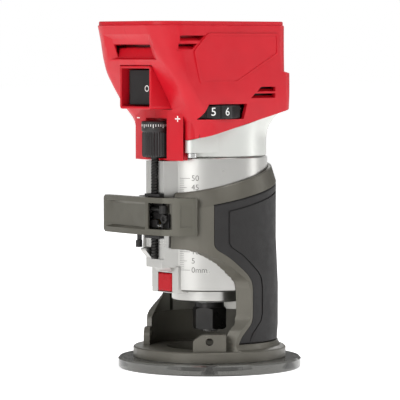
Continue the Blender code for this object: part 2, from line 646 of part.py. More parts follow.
def make_spindle():
    shaft = disc("spindle_shaft", [
        (0.0, 127.0), (SHAFT_RADIUS, 127.0), (SHAFT_RADIUS, 53.0), (8.4, 52.6), (8.4, 46.9),
        (6.0, 46.7), (6.0, 37.6), (6.3, 37.2), (6.3, 24.5), (0.0, 24.5)], STEEL, steps=24)
    cut(shaft, rod("collet_socket", (0.0, 0.0, 20.0), (0.0, 0.0, 36.0), 5.2, sides=24))
    for number in range(4):
        angle = 90.0 * number
        x, y = polar(angle, 5.8)
        far_x, far_y = polar(angle, 12.0)
        cut(shaft, rod("lock_hole_%d" % (number + 1), (x, y, LOCK_PIN_HEIGHT),
                       (far_x, far_y, LOCK_PIN_HEIGHT), 1.85, sides=12))
    pivot_at(shaft, 0.0, 0.0, 0.0)
    turned("rotor", [(SHAFT_RADIUS + GAP, 94.0), (14.8, 94.0), (14.8, 63.0),
                     (SHAFT_RADIUS + GAP, 63.0)], DARK_STEEL, steps=24)
    turned("collet", [(3.3, 34.6), (4.7, 34.6), (4.9, 24.0), (4.2, 19.8), (3.3, 19.8)], STEEL,
           steps=24)


def make_fan():
    fan = turned("fan", [(4.4, 61.0), (7.0, 61.0), (7.2, 56.6), (24.0, 56.0), (24.0, 54.8),
                         (4.4, 54.8)], BLACK, steps=32)
    blades = bmesh.new()
    count = 9
    for i in range(count):
        blade = bmesh.new()
        add_box(blade, (-0.6, 0.6), (-22.5, -6.0), (55.4, 60.4))
        blade.transform(Matrix.Rotation(2.0 * math.pi * i / count, 4, 'Z'))
        copied = bpy.data.meshes.new("blade")
        blade.to_mesh(copied)
        blade.free()
        blades.from_mesh(copied)
        bpy.data.meshes.remove(copied)
    join(fan, from_bmesh("fan_blades", blades))


def make_stator():
    stator = turned("stator", [(15.2, 92.0), (28.6, 92.0), (28.6, 66.0), (15.2, 66.0)], DARK_STEEL,
                    steps=24)
    join(stator, turned("windings", [(17.0, 97.0), (26.5, 97.0), (27.5, 95.0), (27.5, 63.5),
                                     (26.5, 61.6), (17.0, 61.6)], steps=24))


def make_collet_nut():
    across = NUT_FLATS / math.sqrt(3.0)
    nut = rod("collet_nut", (0.0, 0.0, NUT_BOTTOM), (0.0, 0.0, 30.6), across, DARK_STEEL, 6)
    join(nut, rod("nut_collar", (0.0, 0.0, 30.0), (0.0, 0.0, NUT_TOP - 0.2), 8.0, sides=24))
    cut(nut, rod("nut_bore", (0.0, 0.0, 24.0), (0.0, 0.0, 40.0), 6.65, sides=24),
        rod("nut_mouth", (0.0, 0.0, 10.0), (0.0, 0.0, 25.0), 5.3, sides=24))


def make_adjuster():
    at = (0.0, -SCREW_FRONT)
    knob = turned("adjust_knob", [
        (2.4, KNOB_TOP), (6.7, KNOB_TOP), (KNOB_RADIUS, KNOB_TOP - 0.6), (KNOB_RADIUS, 131.4),
        (6.8, 131.0), (6.8, KNOB_BOTTOM + 0.6), (6.4, KNOB_BOTTOM), (2.4, KNOB_BOTTOM)],
        BLACK, steps=24, at=at)
    pivot_at(knob, 0.0, -SCREW_FRONT, 0.0)
    screw = disc("adjust_screw", [
        (0.0, 136.0), (2.1, 136.0), (2.1, 116.6), (SCREW_RADIUS, 116.2),
        (SCREW_RADIUS, 62.6), (1.5, 62.0), (0.0, 62.0)],
        DARK_STEEL, at=at, steps=SMALL)
    pivot_at(screw, 0.0, -SCREW_FRONT, 0.0)


# ---------------------------------------------------------------- upper collar and housing

def section(height, front, rear, half_width, corner, sides=5):
    """Half of a rounded rectangle, from the front centre line round to the rear one."""
    points = [(0.0, -front, height)]
    centre = (half_width - corner, -(front - corner))
    points += [(x, y, height) for x, y in arc(centre, corner, -90.0, 0.0, sides)]
    centre = (half_width - REAR_CORNER, rear - REAR_CORNER)
    points += [(x, y, height) for x, y in arc(centre, REAR_CORNER, 0.0, 90.0, 4)]
    points.append((0.0, rear, height))
    return points


def rear_reach(x, y, half_width, rear):
    """How far a rounded rectangle's rear half lies from the axis in the direction (x, y)."""
    near, far = 20.0, 60.0
    for _ in range(24):
        middle = (near + far) / 2.0
        across = max(0.0, abs(x) * middle - (half_width - REAR_CORNER))
        back = max(0.0, y * middle - (rear - REAR_CORNER))
        if math.hypot(across, back) < REAR_CORNER:
            near = middle
        else:
            far = middle
    return near


def collar_ring(height, radius=COLLAR_RADIUS, half_width=32.4, rear=32.8):
    """A circle that swells into the housing's outline towards the parting line."""
    share = max(0.0, (height - 127.0) / 18.0) ** 2
    ring = []
    for i in range(ROUND):
        turn = 2.0 * math.pi * (i + 0.5) / ROUND
        x, y = math.sin(turn), -math.cos(turn)
        square = Vector((x * half_width, y * radius))
        if y > 0.0:
            square = Vector((x, y)) * rear_reach(x, y, half_width, rear)
        point = (Vector((x, y)) * radius).lerp(square, share)
        ring.append((point.x, point.y, height))
    return ring


def ear_outline(side):
    """The lug under each collar screw, drawn back to the collar's wall."""
    x, front = EAR_CENTRE
    reach = 3.6
    points = arc((x, -front), reach, -170.0, -20.0, 7)
    points += [(x + 5.6, -16.0), (x - 3.0, -16.0)]
    return [(side * u, v) for u, v in points]


def make_upper_collar():
    low = MOTOR_TOP + GAP
    collar = loft("upper_collar", [
        collar_ring(low, COLLAR_RADIUS - 0.5), collar_ring(low + 0.5)]
        + [collar_ring(z) for z in (127.0, 131.0, 134.5, 138.0, 141.5, 145.0)], SILVER)
    for number, side in enumerate((1.0, -1.0), 1):
        join(collar, outline("ear_%d" % number, ear_outline(side), EAR_BOTTOM, 140.0))
    cut(collar, disc("collar_hollow", [
        (0.0, 160.0), (28.0, 160.0), (28.0, 126.3), (11.2, 126.3), (11.2, 118.8), (7.5, 118.8),
        (7.5, 110.0), (0.0, 110.0)]),
        slope_cutter("parting_plane", PARTING_HEIGHT - GAP, PARTING_SLOPE))
    for number, (x, y) in enumerate(collar_screw_places(), 1):
        cut(collar, rod("collar_screw_hole_%d" % number, (x, y, 100.0), (x, y, 150.0), 1.7, sides=12))
        if y > 0.0:
            cut(collar, rod("collar_screw_recess_%d" % number, (x, y, 100.0), (x, y, 122.0), 3.3))
    for number, angle in enumerate((150.0, 180.0, 210.0), 1):
        x, y = polar(angle, 24.0)
        cut(collar, rod("lead_hole_%d" % number, (x, y, 100.0), (x, y, 150.0), 1.9, sides=12))


def collar_screw_places():
    x, front = EAR_CENTRE
    return ((x, -front), (-x, -front), (17.0, 17.5), (-17.0, 17.5))


def make_collar_screws():
    for number, (x, y) in enumerate(collar_screw_places(), 1):
        seat = EAR_BOTTOM - GAP if y < 0.0 else 122.0 - GAP
        tip = 136.0 if y < 0.0 else 146.0
        disc("collar_screw_%d" % number, [
            (0.0, tip), (1.35, tip), (1.35, seat), (2.9, seat), (2.9, seat - 2.4),
            (0.0, seat - 2.4)], STEEL, steps=SMALL, at=(x, y))


def housing_half(name, side):
    """One clamshell: the outer form less the inner one, from the centre plane outwards."""
    outer = [section(*values) for values in HOUSING_SECTIONS]
    inner = [section(z, front - WALL, rear - WALL, half_width - WALL, max(corner - WALL, 1.5))
             for z, front, rear, half_width, corner in HOUSING_SECTIONS[:9]]
    inner[0] = [(x, y, 100.0) for x, y, z in inner[0]]
    inner[-1] = [(x, y, DOCK_FLOOR - 3.0) for x, y, z in inner[-1]]
    shift = GAP / 2.0

    def placed(ring, offset):
        return [(side * (x + offset) if x > 0.0 else side * offset, y, z) for x, y, z in ring]

    shell = loft(name, [placed(ring, shift if ring[0][0] == 0.0 else 0.0) for ring in outer], RED)
    hollow = loft(name + "_hollow", [open_side(ring, side) for ring in inner])
    return shell, hollow


def open_side(ring, side):
    """The inner form's ring, carried past the centre plane so that the cut is open there."""
    return [(side * (x if x > 0.0 else -5.0), y, z) for x, y, z in ring]


def skirt_outline(side):
    half = [(GAP / 2.0, -38.6), (10.0, -38.4), (20.6, -35.9), (17.1, -32.6), (17.1, -22.0),
            (GAP / 2.0, -22.0)]
    return [(side * x, y) for x, y in half]


def make_housing_half(name, side):
    shell, hollow = housing_half(name, side)
    cut(shell, hollow)
    join(shell, outline(name + "_ear_seat", ear_outline(side), 122.0, 142.0))
    cut(shell, slope_cutter(name + "_parting", PARTING_HEIGHT, PARTING_SLOPE, False))
    join(shell, outline(name + "_skirt", skirt_outline(side), 115.6, 145.3))
    for number, (front, height) in enumerate(HOUSING_SCREWS, 1):
        join(shell, rod("%s_boss_%d" % (name, number), (side * GAP / 2.0, -front, height),
                        (side * 31.5, -front, height), 3.7, sides=12))
    for number, (x, y) in enumerate(collar_screw_places(), 1):
        if x * side > 0.0 and y > 0.0:
            reach = sorted((x, side * 31.5))
            join(shell, rod("%s_seat_%d" % (name, number), (x, y, 140.6), (x, y, 147.6), 3.4, sides=12),
                 box("%s_rib_%d" % (name, number), reach, (y - 1.2, y + 1.2), (142.4, 147.4)))
    cut(shell, rod(name + "_collar_room", (0.0, 0.0, 90.0), (0.0, 0.0, 131.0),
                   MOTOR_RADIUS + GAP, sides=ROUND),
        slope_box(name + "_inner_skirt"))
    cut(shell, rod(name + "_knob_room", (0.0, -SCREW_FRONT, 116.6), (0.0, -SCREW_FRONT, 138.4),
                   8.3, sides=24),
        rod(name + "_screw_room", (0.0, -SCREW_FRONT, 100.0), (0.0, -SCREW_FRONT, 120.0), 3.2))
    width, low, high = BEZEL[:3]
    cut(shell, box(name + "_bezel_room", (-width - GAP, width + GAP), (-70.0, -36.0),
                   (low - GAP, high + GAP)))
    for number, (x, y) in enumerate(collar_screw_places(), 1):
        if x * side > 0.0:
            cut(shell, rod("%s_collar_screw_%d" % (name, number), (x, y, 100.0), (x, y, 146.8), 1.65,
                           sides=12))
    cut_dock(shell, name)
    cut_vents(shell, name, side)
    for number, (front, height) in enumerate(HOUSING_SCREWS, 1):
        cut(shell, rod("%s_screw_way_%d" % (name, number), (-29.0, -front, height),
                       (26.0, -front, height), 1.6, sides=12))
        if side < 0.0:
            cut(shell, rod("%s_screw_head_%d" % (name, number), (-60.0, -front, height),
                           (-26.4, -front, height), 3.1, sides=12))


def slope_box(name):
    """Clears the hollow under the parting plane, behind the skirt."""
    bm = bmesh.new()
    add_box(bm, (-27.4, 27.4), (-29.9, 20.0), (90.0, 141.5))
    return from_bmesh(name, bm)


def cut_dock(shell, name):
    reach = 60.0
    cut(shell, box(name + "_dock_mouth", (-DOCK_MOUTH_HALF_WIDTH, DOCK_MOUTH_HALF_WIDTH),
                   (-DOCK_FRONT, reach), (DOCK_FLOOR, 200.0)),
        box(name + "_dock_groove", (-DOCK_HALF_WIDTH, DOCK_HALF_WIDTH),
            (-DOCK_FRONT, reach), (DOCK_FLOOR + 0.01, 187.6)))


def cut_vents(shell, name, side):
    """Two slots high at the front and two low at the rear of each side, and one in front."""
    slots = (((-47.6, -31.0), (180.4, 183.2)), ((-48.4, -37.0), (175.8, 178.8)),
             ((6.2, 19.4), (152.8, 155.4)), ((1.8, 19.4), (149.2, 151.8)))
    for number, (y, z) in enumerate(slots, 1):
        near, far = sorted((side * 24.0, side * 60.0))
        cut(shell, box("%s_vent_%d" % (name, number), (near, far), y, z))
    cut(shell, box(name + "_front_vent", (-15.2, 15.2), (-70.0, -50.0), (174.2, 178.6)))
    if side > 0.0:
        x, front = DIAL_CENTRE
        cut(shell, rod(name + "_dial_room", (x, -front, DIAL_BOTTOM - GAP),
                       (x, -front, DIAL_TOP + GAP), DIAL_RADIUS + 0.4, sides=32))


def make_bezel():
    width, low, high, front = BEZEL
    wall = 1.5
    outer = box("switch_bezel", (-width, width), (-front, -36.6), (low, high), RED)
    cut(outer, box("bezel_opening", (-width + wall, width - wall), (-60.0, -30.0),
                   (low + wall, high - wall)))


def make_switch():
    low, high = BEZEL[1:3]
    box("switch_body", (-11.4, 11.4), (-36.2, -27.6), (low + 2.2, high - 2.2), BLACK)
    points = [(-11.4, -39.2), (-11.4, -47.0), (-9.5, -47.6), (0.0, -46.4), (9.5, -47.6),
              (11.4, -47.0), (11.4, -39.2)]
    turn = Matrix.Rotation(ROCKER_TILT, 2)
    middle = Vector((0.0, -ROCKER_PIVOT_FRONT))
    tilted = [tuple(turn @ (Vector(point) - middle) + middle) for point in points]
    rocker = outline("rocker", [(u * 0.97, v) for u, v in tilted], low + 2.3, high - 2.3,
                     paint=BLACK)
    pivot_at(rocker, 0.0, -ROCKER_PIVOT_FRONT, 0.0)


def make_dial():
    x, front = DIAL_CENTRE
    dial = turned("speed_dial", [
        (2.9, DIAL_TOP), (DIAL_RADIUS - 0.5, DIAL_TOP), (DIAL_RADIUS, DIAL_TOP - 0.5),
        (DIAL_RADIUS, DIAL_BOTTOM + 0.5), (DIAL_RADIUS - 0.5, DIAL_BOTTOM), (2.9, DIAL_BOTTOM)],
        BLACK, steps=24, at=(x, -front))
    pivot_at(dial, x, -front, 0.0)
    post = rod("dial_potentiometer", (x, -front, 134.8), (x, -front, 147.2), 2.5, STEEL)
    join(post, box("potentiometer_body", (x - 5.0, x + 5.0), (-front - 5.0, -front + 5.0),
                   (134.4, DIAL_BOTTOM - GAP)))


def make_electronics():
    box("control_board", (-23.0, 23.0), (-24.0, 21.0), (148.2, 156.0), BOARD)
    box("terminal_block", (-14.0, 14.0), (-38.0, -22.0), (DOCK_FLOOR + GAP, 187.0), BLACK)
    for number, x in enumerate((-8.0, 0.0, 8.0), 1):
        box("terminal_blade_%d" % number, (x - 0.4, x + 0.4), (-21.7, -8.0),
            (DOCK_FLOOR + GAP, 186.0), BRASS)
    for number, angle in enumerate((150.0, 180.0, 210.0), 1):
        x, y = polar(angle, 24.0)
        top_x, top_y = polar(angle, 19.0)
        route = [(x, y, 97.4), (x, y, 112.0), (x, y, 130.0), (x * 0.97, y * 0.97, 137.0),
                 (top_x, top_y, 143.0), (top_x, top_y, 147.8)]
        tube("phase_lead_%d" % number, route, 1.1, LEAD)


def make_housing_screws():
    for number, (front, height) in enumerate(HOUSING_SCREWS, 1):
        screw = rod("housing_screw_%d" % number, (-26.7, -front, height), (-29.0, -front, height),
                    2.7, STEEL)
        join(screw, rod("housing_screw_shank_%d" % number, (-28.0, -front, height),
                        (12.0, -front, height), 1.25, sides=12))


def make_router():
    make_sub_base()
    make_sub_base_screws()
    make_base_casting()
    make_grip()
    make_clamp_lever()
    make_clamp_hardware()
    make_carrier()
    make_release()
    make_motor_housing()
    make_lock_button()
    make_bearing_parts()
    make_spindle()
    make_fan()
    make_stator()
    make_collet_nut()
    make_adjuster()
    make_upper_collar()
    make_collar_screws()
    make_housing_half("housing_right", 1.0)
    make_housing_half("housing_left", -1.0)
    make_bezel()
    make_switch()
    make_dial()
    make_electronics()
    make_housing_screws()


make_router()
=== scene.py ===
import math

import bmesh
import bpy
from mathutils import Matrix, Vector


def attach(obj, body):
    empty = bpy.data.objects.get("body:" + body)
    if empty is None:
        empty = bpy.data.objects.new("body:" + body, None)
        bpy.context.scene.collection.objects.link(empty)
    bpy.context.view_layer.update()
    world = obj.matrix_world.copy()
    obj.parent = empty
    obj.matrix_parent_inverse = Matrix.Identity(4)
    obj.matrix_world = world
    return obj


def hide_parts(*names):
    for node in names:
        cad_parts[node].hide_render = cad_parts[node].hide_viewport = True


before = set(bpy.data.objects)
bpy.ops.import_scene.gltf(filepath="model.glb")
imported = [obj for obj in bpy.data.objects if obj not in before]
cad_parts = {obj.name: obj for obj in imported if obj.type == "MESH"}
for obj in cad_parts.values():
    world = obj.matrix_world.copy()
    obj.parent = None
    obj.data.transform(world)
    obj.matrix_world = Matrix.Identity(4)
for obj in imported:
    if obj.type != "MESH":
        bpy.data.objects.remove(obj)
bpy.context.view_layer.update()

MM = 0.001
AXIS_Y = 4.85                 # the spindle axis lies this far behind the origin, mm
ROUND = 96                    # sides of a large round
FLAT_ANGLE = 0.15             # faces this close to level with each other become one, degrees
CAD_FLAT_ANGLE = 0.4
SCENE = bpy.context.scene

# Sizes that several pieces share, mm
SCREW = (0.0, -39.0)          # the depth screw's axis
LEVER_PIN = (23.6, -31.4)
CROSS_BOLT = (-42.4, 89.2)    # y and height
BRACKET_SCREW = (12.0, 84.2)  # x and height
MOTOR_RADIUS = 32.0
BORE_RADIUS = 32.3
LOCK_HEIGHT = 49.3
LEVER_SPAN = (75.0, 95.5)
WINDOW_SPAN = (78.3, 92.6)
KNUCKLE_SPAN = (79.7, 90.9)
SCALE_ZERO = 55.8
PLATE_SCREW_RADIUS = 36.4
DIAL_RADIUS = 18.0


# ---------------- shapes, in mm about the spindle axis

def add_object(name, mesh):
    made = bpy.data.objects.new(name, mesh)
    SCENE.collection.objects.link(made)
    return made


def from_bmesh(name, bm):
    bmesh.ops.remove_doubles(bm, verts=bm.verts, dist=0.002)
    bmesh.ops.recalc_face_normals(bm, faces=bm.faces)
    mesh = bpy.data.meshes.new(name)
    bm.to_mesh(mesh)
    bm.free()
    return add_object(name, mesh)


def block(x, y, z, name="block"):
    bm = bmesh.new()
    size = [abs(pair[1] - pair[0]) for pair in (x, y, z)]
    middle = [(pair[0] + pair[1]) / 2.0 for pair in (x, y, z)]
    bmesh.ops.create_cube(bm, size=1.0, matrix=Matrix.Translation(middle) @ Matrix.Diagonal((*size, 1.0)))
    return from_bmesh(name, bm)


def rod(start, end, radius, sides=32, end_radius=None, name="rod"):
    first, last = Vector(start), Vector(end)
    run = last - first
    turn = Vector((0.0, 0.0, 1.0)).rotation_difference(run.normalized()).to_matrix().to_4x4()
    bm = bmesh.new()
    bmesh.ops.create_cone(bm, cap_ends=True, segments=sides, radius1=radius,
                          radius2=radius if end_radius is None else end_radius, depth=run.length,
                          matrix=Matrix.Translation((first + last) / 2.0) @ turn)
    return from_bmesh(name, bm)


def turned(name, profile, steps=ROUND, at=(0.0, 0.0)):
    """Turns a profile of (radius, height) points about a vertical axis."""
    bm = bmesh.new()
    rings = []
    for radius, height in profile:
        turns = [2.0 * math.pi * i / steps for i in range(steps if radius > 0.0 else 1)]
        rings.append([bm.verts.new((at[0] + radius * math.sin(t), at[1] - radius * math.cos(t), height))
                      for t in turns])
    pairs = list(zip(rings, rings[1:]))
    if profile[0][0] > 0.0:
        pairs.append((rings[-1], rings[0]))
    for one, two in pairs:
        for i in range(steps):
            j = (i + 1) % steps
            corners = []
            for vert in (one[i % len(one)], one[j % len(one)], two[j % len(two)], two[i % len(two)]):
                if vert not in corners:
                    corners.append(vert)
            if len(corners) > 2:
                bm.faces.new(corners)
    return from_bmesh(name, bm)


def prism(points, low, high, along='Z', name="prism"):
    """Extrudes an outline.  Its points are (x, y) along Z, (x, z) along Y and (y, z) along X."""
    spots = {'Z': lambda u, v, w: (u, v, w), 'Y': lambda u, v, w: (u, w, v), 'X': lambda u, v, w: (w, u, v)}
    bm = bmesh.new()
    ends = [[bm.verts.new(spots[along](u, v, w)) for u, v in points] for w in (low, high)]
    for ring in ends:
        bm.faces.new(ring)
    for i in range(len(points)):
        j = (i + 1) % len(points)
        bm.faces.new((ends[0][i], ends[0][j], ends[1][j], ends[1][i]))
    return from_bmesh(name, bm)


def loft(name, rings):
    bm = bmesh.new()
    rows = [[bm.verts.new(point) for point in ring] for ring in rings]
    for low, high in zip(rows, rows[1:]):
        for i, vert in enumerate(low):
            j = (i + 1) % len(low)
            bm.faces.new((vert, low[j], high[j], high[i]))
    bm.faces.new(rows[0])
    bm.faces.new(rows[-1])
    return from_bmesh(name, bm)


def bake(piece):
    bpy.context.view_layer.update()
    seen = piece.evaluated_get(bpy.context.evaluated_depsgraph_get())
    mesh = bpy.data.meshes.new_from_object(seen)
    piece.modifiers.clear()
    piece.data = mesh
    return piece


def combine(target, operation, tools):
    for number, tool in enumerate(tools):
        change = target.modifiers.new("change_%d" % number, 'BOOLEAN')
        change.operation = operation
        change.solver = 'EXACT'
        change.object = tool
    bake(target)
    for tool in tools:
        bpy.data.objects.remove(tool)
    return target


def cut(target, *tools):
    return combine(target, 'DIFFERENCE', tools)


def join(target, *tools):
    return combine(target, 'UNION', tools)


def shared(target, *tools):
    return combine(target, 'INTERSECT', tools)


def polar(angle, radius):
    turn = math.radians(angle)
    return radius * math.sin(turn), -radius * math.cos(turn)


def arc(centre, radius, start, end, count):
    made = []
    for i in range(count + 1):
        turn = math.radians(start + (end - start) * i / count)
        made.append((centre[0] + radius * math.cos(turn), centre[1] + radius * math.sin(turn)))
    return made


def rounded(points, radius, steps=4):
    """An outline with each corner rounded off."""
    made = []
    for i, point in enumerate(points):
        here = Vector(point)
        back, on = Vector(points[i - 1]) - here, Vector(points[(i + 1) % len(points)]) - here
        reach = min(radius, back.length * 0.45, on.length * 0.45)
        one, two = here + back.normalized() * reach, here + on.normalized() * reach
        for k in range(steps + 1):
            t = k / steps
            made.append(tuple(one * (1 - t) ** 2 + here * 2 * t * (1 - t) + two * t ** 2))
    return made


def below(height, slope):
    """Everything under a plane that rises towards the rear."""
    reach = 160.0
    made = block((-reach, reach), (-reach, reach), (-reach, 0.0))
    made.data.transform(Matrix.Translation((0.0, 0.0, height)) @ Matrix.Rotation(math.atan(slope), 4, 'X'))
    return made


def leaning(made, height, slope):
    for vert in made.data.vertices:
        if vert.co.z > height:
            vert.co.z += slope * vert.co.y
    return made


# ---------------- materials

def noise_node(tree, coords, size_mm, detail=2.0, stretch=(1.0, 1.0, 1.0)):
    mapping = tree.nodes.new("ShaderNodeMapping")
    mapping.inputs["Scale"].default_value = [s / (size_mm * MM) for s in stretch]
    tree.links.new(coords, mapping.inputs["Vector"])
    grain = tree.nodes.new("ShaderNodeTexNoise")
    grain.inputs["Scale"].default_value = 1.0
    grain.inputs["Detail"].default_value = detail
    tree.links.new(mapping.outputs["Vector"], grain.inputs["Vector"])
    return grain.outputs["Fac"]


def ramp_between(tree, fac, low, high):
    ranged = tree.nodes.new("ShaderNodeMapRange")
    ranged.inputs["From Min"].default_value = 0.3
    ranged.inputs["From Max"].default_value = 0.7
    ranged.inputs["To Min"].default_value = low
    ranged.inputs["To Max"].default_value = high
    tree.links.new(fac, ranged.inputs["Value"])
    return ranged.outputs["Result"]


def finish(name, colour, rough, metal=0.0, grain=0.4, depth=0.15, vary=0.08, blotch=14.0, shift=0.06,
           stretch=(1.0, 1.0, 1.0), edge=0.0, soft_edge=0.0, **sockets):
    """A material with colour drift, uneven gloss, a fine grain and, where asked, paler edges."""
    made = bpy.data.materials.new(name)
    made.use_nodes = True
    tree = made.node_tree
    shader = tree.nodes["Principled BSDF"]
    shader.inputs["Metallic"].default_value = metal
    for socket, value in sockets.items():
        shader.inputs[socket.replace("_", " ")].default_value = value
    coords = tree.nodes.new("ShaderNodeTexCoord").outputs["Object"]
    mix = tree.nodes.new("ShaderNodeMix")
    mix.data_type = 'RGBA'
    mix.inputs[6].default_value = (*[c * (1.0 - shift) for c in colour], 1.0)
    mix.inputs[7].default_value = (*[min(1.0, c * (1.0 + shift)) for c in colour], 1.0)
    tree.links.new(ramp_between(tree, noise_node(tree, coords, blotch, 3.0), 0.0, 1.0), mix.inputs[0])
    tint = mix.outputs[2]
    # convex edges, found by pointiness, are mixed towards a paler colour
    if edge > 0.0:
        edge_tint = tree.nodes.new("ShaderNodeMix")
        edge_tint.data_type = 'RGBA'
        edge_tint.inputs[7].default_value = (*[min(1.0, c * (1.0 + 3.0 * edge) + 0.03) for c in colour], 1.0)
        rim = tree.nodes.new("ShaderNodeMapRange")
        rim.inputs["From Min"].default_value = 0.52
        rim.inputs["From Max"].default_value = 0.62
        rim.inputs["To Max"].default_value = edge
        tree.links.new(tree.nodes.new("ShaderNodeNewGeometry").outputs["Pointiness"], rim.inputs["Value"])
        tree.links.new(rim.outputs["Result"], edge_tint.inputs[0])
        tree.links.new(tint, edge_tint.inputs[6])
        tint = edge_tint.outputs[2]
    tree.links.new(tint, shader.inputs["Base Color"])
    cloudy = noise_node(tree, coords, blotch * 0.35, 4.0)
    tree.links.new(ramp_between(tree, cloudy, max(0.02, rough - vary), rough + vary),
                   shader.inputs["Roughness"])
    bump = tree.nodes.new("ShaderNodeBump")
    bump.inputs["Strength"].default_value = depth
    bump.inputs["Distance"].default_value = grain * MM * 0.5
    tree.links.new(noise_node(tree, coords, grain, 3.0, stretch), bump.inputs["Height"])
    if soft_edge > 0.0:
        bevel = tree.nodes.new("ShaderNodeBevel")
        bevel.samples = 4
        bevel.inputs["Radius"].default_value = soft_edge * MM
        tree.links.new(bevel.outputs["Normal"], bump.inputs["Normal"])
    tree.links.new(bump.outputs["Normal"], shader.inputs["Normal"])
    return made


RED = finish("red_moulded", (0.535, 0.007, 0.017), 0.36, grain=0.45, depth=0.10, shift=0.04,
             Specular_IOR_Level=0.3)
RED_GLOSS = finish("red_button", (0.44, 0.005, 0.012), 0.3, grain=0.6, depth=0.05, shift=0.03,
                   Specular_IOR_Level=0.18)
BLACK = finish("black_moulded", (0.015, 0.0138, 0.0138), 0.4, grain=0.35, depth=0.2, shift=0.12,
               soft_edge=0.3, Specular_IOR_Level=0.35)
KNOB_BLACK = finish("knob_black", (0.021, 0.0195, 0.0195), 0.44, grain=0.35, depth=0.2, shift=0.12,
                    Specular_IOR_Level=0.4)
RUBBER = finish("grip_rubber", (0.020, 0.0188, 0.0188), 0.62, grain=0.55, depth=0.4, vary=0.06, shift=0.1,
                Specular_IOR_Level=0.35)
CAST = finish("powder_coat", (0.118, 0.111, 0.091), 0.40, metal=0.35, grain=0.5, depth=0.22, shift=0.05,
              edge=0.10)
LEVER = finish("lever_coat", (0.097, 0.092, 0.073), 0.38, metal=0.35, grain=0.5, depth=0.22, shift=0.05,
               edge=0.10)
SILVER = finish("silver_paint", (0.64, 0.65, 0.62), 0.38, metal=0.55, grain=0.4, depth=0.10, shift=0.02)
MACHINED = finish("turned_aluminium", (0.50, 0.495, 0.475), 0.3, metal=1.0, grain=0.5, depth=0.03, vary=0.03,
                  blotch=40.0, shift=0.015, stretch=(0.02, 0.02, 2.5))
BORE = finish("bored_aluminium", (0.46, 0.455, 0.425), 0.34, metal=1.0, grain=0.5, depth=0.05, vary=0.03,
              blotch=40.0, shift=0.02, stretch=(0.02, 0.02, 2.0))
STEEL = finish("zinc_steel", (0.55, 0.55, 0.54), 0.28, metal=1.0, grain=0.6, depth=0.08, shift=0.04,
               soft_edge=0.15)
DARK_STEEL = finish("black_oxide", (0.028, 0.027, 0.026), 0.34, metal=0.6, grain=0.5, depth=0.12, shift=0.15,
                    soft_edge=0.15, Specular_IOR_Level=0.4)
BRASS = finish("brass_blades", (0.72, 0.52, 0.22), 0.3, metal=1.0, grain=0.5, depth=0.06, shift=0.05)
LAMINATED = finish("laminated_steel", (0.2, 0.19, 0.18), 0.4, metal=0.9, grain=0.35, depth=0.4, shift=0.1,
                   stretch=(0.05, 0.05, 1.0))
BOARD = finish("potting", (0.03, 0.04, 0.035), 0.3, grain=3.0, depth=0.2, shift=0.2)
LEAD = finish("lead_silicone", (0.3, 0.015, 0.015), 0.5, grain=0.6, depth=0.1)
SMOKE = finish("smoked_clear", (0.05, 0.049, 0.043), 0.07, grain=2.5, depth=0.03, vary=0.03, shift=0.04,
               Transmission_Weight=0.6, IOR=1.45)
LENS = finish("clear_lens", (0.95, 0.96, 0.93), 0.08, grain=1.0, depth=0.05,
              Transmission_Weight=0.85, IOR=1.5)
WHITE_INK = finish("white_ink", (0.86, 0.86, 0.84), 0.5, grain=0.3, depth=0.06, shift=0.02)
GREY_INK = finish("etched_marks", (0.16, 0.155, 0.15), 0.6, metal=0.3, grain=0.2, depth=0.1, shift=0.05)

NODE_FINISH = {
    BLACK: ("adjust_carrier release_slider switch_body rocker speed_dial adjust_knob fan terminal_block "
            "dial_potentiometer"),
    RUBBER: "grip_overmold", SMOKE: "sub_base", CAST: "base_casting",
    SILVER: "upper_collar", MACHINED: "motor_housing bearing_retainer", LEVER: "clamp_lever",
    STEEL: ("sub_base_screw:4 collar_screw:4 housing_screw:4 lever_pin release_spring lock_spring "
            "spindle_shaft collet upper_bearing lower_bearing"),
    DARK_STEEL: "collet_nut adjust_screw rotor tension_bolt tension_nut carrier_screw",
    BRASS: "half_nut terminal_blade:3", LAMINATED: "stator", BOARD: "control_board",
    LENS: "led_lens:2", LEAD: "phase_lead:3", RED_GLOSS: "spindle_lock_button",
    RED: "housing_right housing_left switch_bezel",
}


def node_names(words):
    """The nodes in a list of words, where stem:3 stands for stem_1, stem_2 and stem_3."""
    for word in words.split():
        stem, _, count = word.partition(":")
        if count:
            yield from ("%s_%d" % (stem, number) for number in range(1, int(count) + 1))
        else:
            yield stem


for paint, names in NODE_FINISH.items():
    for node in node_names(names):
        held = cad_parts[node].data
        held.materials.clear()
        held.materials.append(paint)


# ---------------- pieces

def piece(made, name, body, paint, slot=None, replaces=(), bevel=0.0, segments=2, sharp=35.0):
    """Puts a made mesh into the scene: scaled to metres, finished, and riding on its body."""
    made.name = name
    made.data.name = name
    made.data.transform(Matrix.Diagonal((MM, MM, MM, 1.0)) @ Matrix.Translation((0.0, AXIS_Y, 0.0)))
    made.data.materials.clear()
    made.data.materials.append(paint)
    made.data.shade_smooth()
    if bevel > 0.0:
        edge = made.modifiers.new("edges", 'BEVEL')
        edge.width = bevel * MM
        edge.segments = segments
        edge.limit_method = 'ANGLE'
        edge.angle_limit = math.radians(sharp)
        edge.miter_outer = 'MITER_ARC'
        flat = made.modifiers.new("normals", 'WEIGHTED_NORMAL')
        flat.keep_sharp = True
    else:
        made.data.set_sharp_from_angle(angle=math.radians(sharp))
    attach(made, body)
    if replaces:
        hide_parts(*replaces)
    return made


def tidy(made, angle=FLAT_ANGLE):
    """Makes one face of each flat area again."""
    bm = bmesh.new()
    bm.from_mesh(made.data)
    bmesh.ops.remove_doubles(bm, verts=bm.verts, dist=0.003)
    bmesh.ops.dissolve_limit(bm, angle_limit=math.radians(angle), verts=bm.verts, edges=bm.edges)
    bm.to_mesh(made.data)
    bm.free()
    return made


